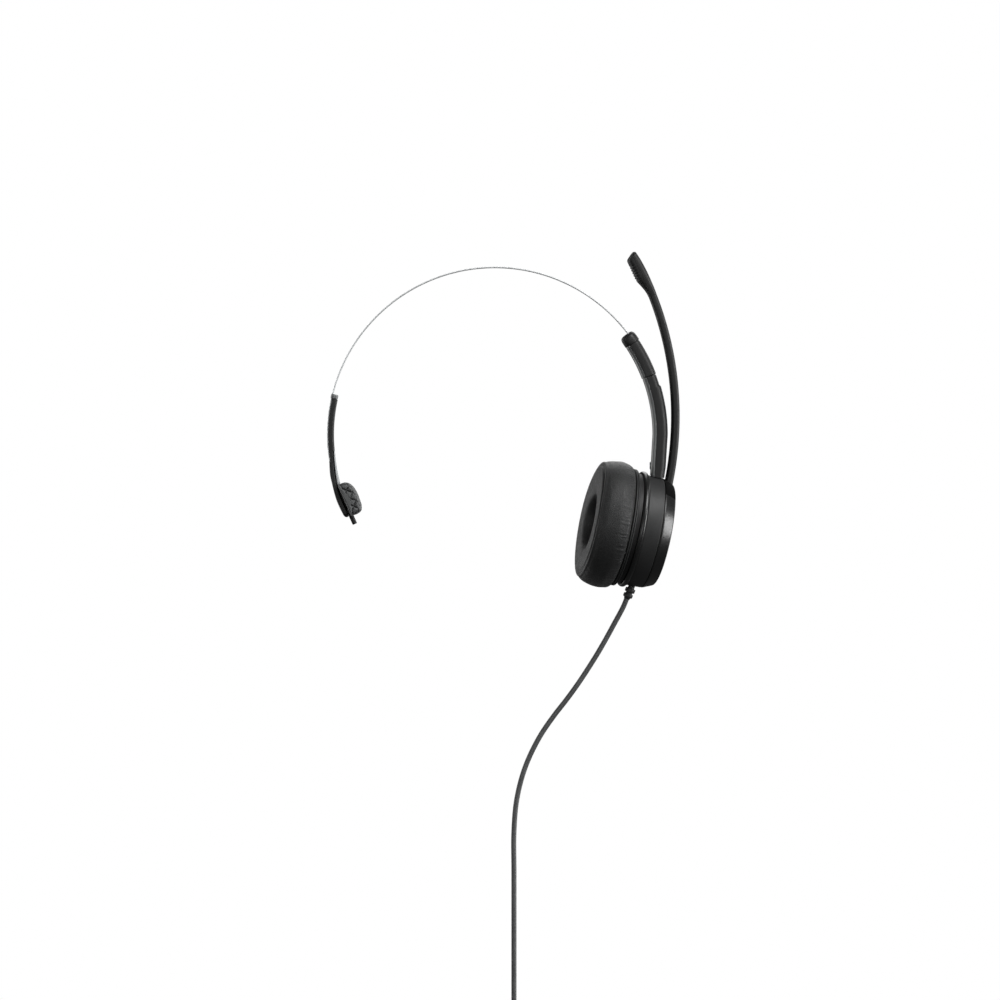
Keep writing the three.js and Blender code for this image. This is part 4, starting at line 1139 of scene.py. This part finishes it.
def capsule_rows(front):
    """One half of the capsule. The front half has slots across it for the sound."""
    rows = []
    for angle in [*spread(CAPSULE_START, 40.7, 125), *spread(40.78, 41.34, 10)]:
        slant, low, high, width = along(angle, CAPSULE_STAGES)
        if front:
            nearest = min(abs(angle - slot) for slot in CAPSULE_SLOTS)
            low += SLOT_DEPTH * (1 - smoothstep(nearest, 0.08, 0.19))
        split = min(max(CAPSULE_SPLIT, low + 0.4), high - 0.4)
        side = {"high": split} if front else {"low": split}
        outline = section(low, high, width, 3.2, seam=0.12, **side)
        rows.append(on_boom(angle, outline, slant * TIP_SLANT))
    return skin(rows)


def mic_capsule():
    """Back and front halves of the capsule."""
    piece("mic_capsule_back", CUP, capsule_rows(front=False))
    piece("mic_capsule_front", CUP, capsule_rows(front=True))


# === Ear cushion ===

CUSHION_BACK = -20.6
CUSHION_FRONT = -37.6
CUSHION_START = [
    (12.6, CUSHION_BACK), (28.7, CUSHION_BACK), (30.1, -22.0), (30.8, -26.2), (30.4, -29.5), (29.6, -33.0),
    (28.4, -35.1), (26.9, -36.3), (24.0, -36.9), (19.0, -37.1), (14.6, -36.8), (12.9, -35.6), (12.3, -33.0),
    (12.4, -25.0),
]
CUSHION_LIMIT = [
    # height, greatest radius
    (-38, 23.0), (-37.1, 25.8), (-36.0, 27.9), (-34.8, 29.2), (-33.4, 29.9), (-32.0, 30.4), (-30.6, 30.8),
    (-29.2, 31.1), (-27.7, 31.3), (-26.3, 31.4), (-24.75, 31.3), (-23.2, 31.1), (-21.65, 30.5), (-20.6, 29.0),
]
CUSHION_VOXEL = 1.0
CUSHION_SWELL = 1.2  # the furthest that the stuffing may push a panel out
SWELL_FRAMES = 20
SEAM_RADIUS = 27.0
SEAM_HEIGHT = -36.5
DIAGONAL = 0.7  # the seam faces out on a slant of 45 degrees, so a step goes this far each way
GATHERS = 104
GATHER_END = -21.8


def swell(obj):
    """Blows the panels out between their seams by cloth simulation."""
    held = obj.vertex_groups.new(name="held")
    for vertex in obj.data.vertices:
        radius = math.hypot(vertex.co.x, vertex.co.y) / MM
        height = vertex.co.z / MM
        on_back = height > CUSHION_BACK - 0.8
        on_seam = abs(height + 36.0) < 0.7 and radius > 26
        on_hole = radius < 12.9 and height > -34
        if on_back or on_seam or on_hole:
            held.add([vertex.index], 1.0, "REPLACE")
    cloth = obj.modifiers.new("cloth", "CLOTH")
    cloth.settings.quality = 4
    cloth.settings.use_pressure = True
    cloth.settings.uniform_pressure_force = 4
    cloth.settings.vertex_group_mass = "held"
    cloth.settings.effector_weights.gravity = 0
    cloth.point_cache.frame_end = SWELL_FRAMES
    for number in range(1, SWELL_FRAMES + 1):
        bpy.context.scene.frame_set(number)
    apply_modifiers(obj)


def ear_cushion():
    """Stuffed leatherette ring: simulated panels, then the front seam's welt and the rear gathers."""
    obj = solid("ear_cushion_look", CUP, lathe(rounded(CUSHION_START, 0.8), steps=ROUND_STEPS))
    remesh = obj.modifiers.new("remesh", "REMESH")
    remesh.mode = "VOXEL"
    remesh.voxel_size = CUSHION_VOXEL * MM
    apply_modifiers(obj)
    start = [vertex.co.copy() for vertex in obj.data.vertices]
    swell(obj)
    for vertex, place in zip(obj.data.vertices, start):
        move = vertex.co - place
        if move.length > CUSHION_SWELL * MM:
            vertex.co = place + move.normalized() * CUSHION_SWELL * MM
    rounding = obj.modifiers.new("rounding", "SUBSURF")
    rounding.levels = 1
    apply_modifiers(obj)
    for vertex in obj.data.vertices:
        vertex.co = Vector(cushion_detail(vertex.co / MM)) * MM
    finish_mesh(obj.data, 180)
    attach(obj, "ear_cushion")


def cushion_detail(point):
    """Keeps a point inside the CAD outline and adds the welt, its stitch line and the gathers."""
    turn = math.atan2(point.y, point.x)
    up = max(0.0, math.sin(turn))
    height = max(point.z, CUSHION_FRONT)
    radius = min(math.hypot(point.x, point.y), along(height, CUSHION_LIMIT)[0])

    off_radius = radius - SEAM_RADIUS - 1.6 * up * up
    off_height = height - SEAM_HEIGHT - 1.8 * up * up
    beside = DIAGONAL * (off_radius + off_height)
    outward = DIAGONAL * (off_radius - off_height)
    if outward > -2.5 and radius > 22:
        welt = 0.5 * math.exp(-((beside / 0.7) ** 2))
        stitch_line = 0.75 * math.exp(-(((beside + 1.5) / 0.65) ** 2))
        radius += DIAGONAL * (welt - stitch_line)
        height -= DIAGONAL * (welt - stitch_line)

    if radius > 27 and height > -33:
        start = -29.5 + 3 * up + 1.6 * math.sin(turn * 37) * math.sin(turn * 11)
        fade = smoothstep(height, start, GATHER_END)
        wave = math.sin(turn * GATHERS + 2.4 * math.sin(turn * 17))
        wave *= 0.55 + 0.45 * math.sin(turn * 29 + 1)
        radius += 0.16 * fade * wave - 0.25 * fade * fade
        radius += 0.1 * math.sin(turn * 5 + height * 0.4) * math.sin(height * 0.5)
    return radius * math.cos(turn), radius * math.sin(turn), height


# === Plug ===

PLUG = local_frame((1, 0, 0), (0, 1, 0), (0, 0, 1), (0.02325, 0.012, -0.4043))
SLEEVE_LENGTH = 9.3
PLUG_BODY = 25
RIB_PITCH = 2.2


def usb_overmould():
    """Moulded grip with cross ribs, and a tapered sleeve round the lead."""
    rows = []
    for drop in [0, 0.15, 0.4, 0.9, *spread(1.4, 23.6, 74), 24.1, 24.6, 24.85, PLUG_BODY]:
        edge = min(drop, PLUG_BODY - drop)
        inset = 0.9 * (1 - smoothstep(edge, -0.2, 1.1))
        rib = 0.35 * smoothstep(math.sin(math.tau * (drop - 3) / RIB_PITCH), 0.2, 0.8)
        if not 5 < drop < 17:
            rib = 0
        w = 7.8 - inset - rib * 0.6
        d = 4 - inset - rib
        outline = rounded([(w, d), (-w, d), (-w, -d), (w, -d)], 2.2, 6)
        rows.append([(x, y, -SLEEVE_LENGTH - drop) for x, y in outline])
    sleeve = [(0, -SLEEVE_LENGTH - 0.5, 0), (3, -SLEEVE_LENGTH - 0.5), (2.05, -0.3, 0.3), (0, -0.3, 0)]
    collars = []
    for i in range(5):
        r = 1.9 + 0.16 * i
        z = -2.0 - 1.5 * i
        ring = [(0.5, z), (r + 0.35, z, 0.3), (r + 0.4, z - 0.8, 0.3), (0.5, z - 0.8)]
        collars.append(lathe(rounded(ring, 0.1), steps=40))
    piece("usb_overmould", PLUG, skin(rows), lathe(rounded(sleeve, 0.2), steps=48), *collars)


# === Everything put together ===

lead = make_cord(MATERIALS["cord_rubber"])
band_strip()
for number, angle in enumerate(TEMPLE_RIVETS, 1):
    temple_rivet(number, angle)
band_collar()
temple_arm_shell()
pad_bracket()
temple_pad()
pad_carrier()
pad_pin()
arm_cap()
arm_upper()
arm_lower()
housing_drum()
rim_ring()
cushion_ring()
baffle_plate()
strain_relief()
boom_hub_ring()
boom_root()
hub_cap()
boom_arm()
mic_capsule()
ear_cushion()
usb_overmould()

for node in frame["nodes"]:
    if not frame["nodes"][node].hide_render:
        smoothed_copy(node)


# === Studio ===

FLOOR_RADIUS = 1.6
FLOOR_DROP = 0.002
FILL_STRENGTH = 0.07


def make_floor():
    """Pale disc just under the plug, which throws no light on the object."""
    mesh = bpy.data.meshes.new("floor")
    with editing(mesh) as made:
        bmesh.ops.create_circle(made, cap_ends=True, segments=96, radius=FLOOR_RADIUS)
    floor = new_object("floor", mesh)
    floor.location = (0, 0, CAD_BOX[0].z - FLOOR_DROP)
    floor.visible_diffuse = False
    floor.visible_glossy = False
    s = Surface("floor", 0.9, specular=0.1)
    pale = s.mixed(s.noise(8, 2), (0.56, 0.56, 0.56, 1), (0.6, 0.6, 0.6, 1))
    s.colour(pale)
    s.feed(s.shader.inputs["Emission Color"], pale)
    s.shader.inputs["Emission Strength"].default_value = 0.9
    mesh.materials.append(s.material)


def make_world():
    """White behind the object, with a much dimmer even light on it."""
    world = bpy.data.worlds.new("studio")
    bpy.context.scene.world = world
    world.use_nodes = True
    tree = world.node_tree
    backdrop = tree.nodes["Background"]
    fill = tree.nodes.new("ShaderNodeBackground")
    for background, strength in ((backdrop, 1.0), (fill, FILL_STRENGTH)):
        background.inputs["Color"].default_value = (1, 1, 1, 1)
        background.inputs["Strength"].default_value = strength
    path = tree.nodes.new("ShaderNodeLightPath")
    mix = tree.nodes.new("ShaderNodeMixShader")
    tree.links.new(path.outputs["Is Camera Ray"], mix.inputs[0])
    tree.links.new(fill.outputs[0], mix.inputs[1])
    tree.links.new(backdrop.outputs[0], mix.inputs[2])
    tree.links.new(mix.outputs[0], tree.nodes["World Output"].inputs["Surface"])


def area_light(name, place, target, width, power, height=None):
    """Soft light that faces its target. It is square unless a height is given."""
    data = bpy.data.lights.new(name, "AREA")
    data.shape = "RECTANGLE"
    data.size = width
    data.size_y = height or width
    data.energy = power
    light = new_object(name, data)
    light.location = place
    light.rotation_euler = (Vector(target) - Vector(place)).to_track_quat("-Z", "Y").to_euler()


def make_lights():
    """Main lights above and at the right, weak ones at the left, in front and behind, and two rim lights."""
    area_light("top", (0.62, -0.62, 0.95), (0.04, 0, -0.1), 0.8, 15)
    area_light("right", (1.47, -0.5, 0.0), (0.08, 0, -0.11), 0.35, 15, height=0.8)
    area_light("left", (-1.25, -0.6, 0.1), (-0.05, 0, -0.1), 0.5, 3, height=0.8)
    area_light("front", (-0.3, -2.4, 0.1), (0, 0, -0.1), 0.7, 7)
    area_light("back", (0.2, 1.2, 0.6), (0.03, 0, -0.1), 0.8, 4)
    area_light("rim_left", (-1.0, 1.0, -0.1), (0, 0, -0.1), 0.8, 4, height=1.2)
    area_light("rim_right", (1.0, 1.0, -0.1), (0, 0, -0.1), 0.8, 5, height=1.2)


make_floor()
make_world()
make_lights()
bpy.context.scene.view_settings.view_transform = "Standard"
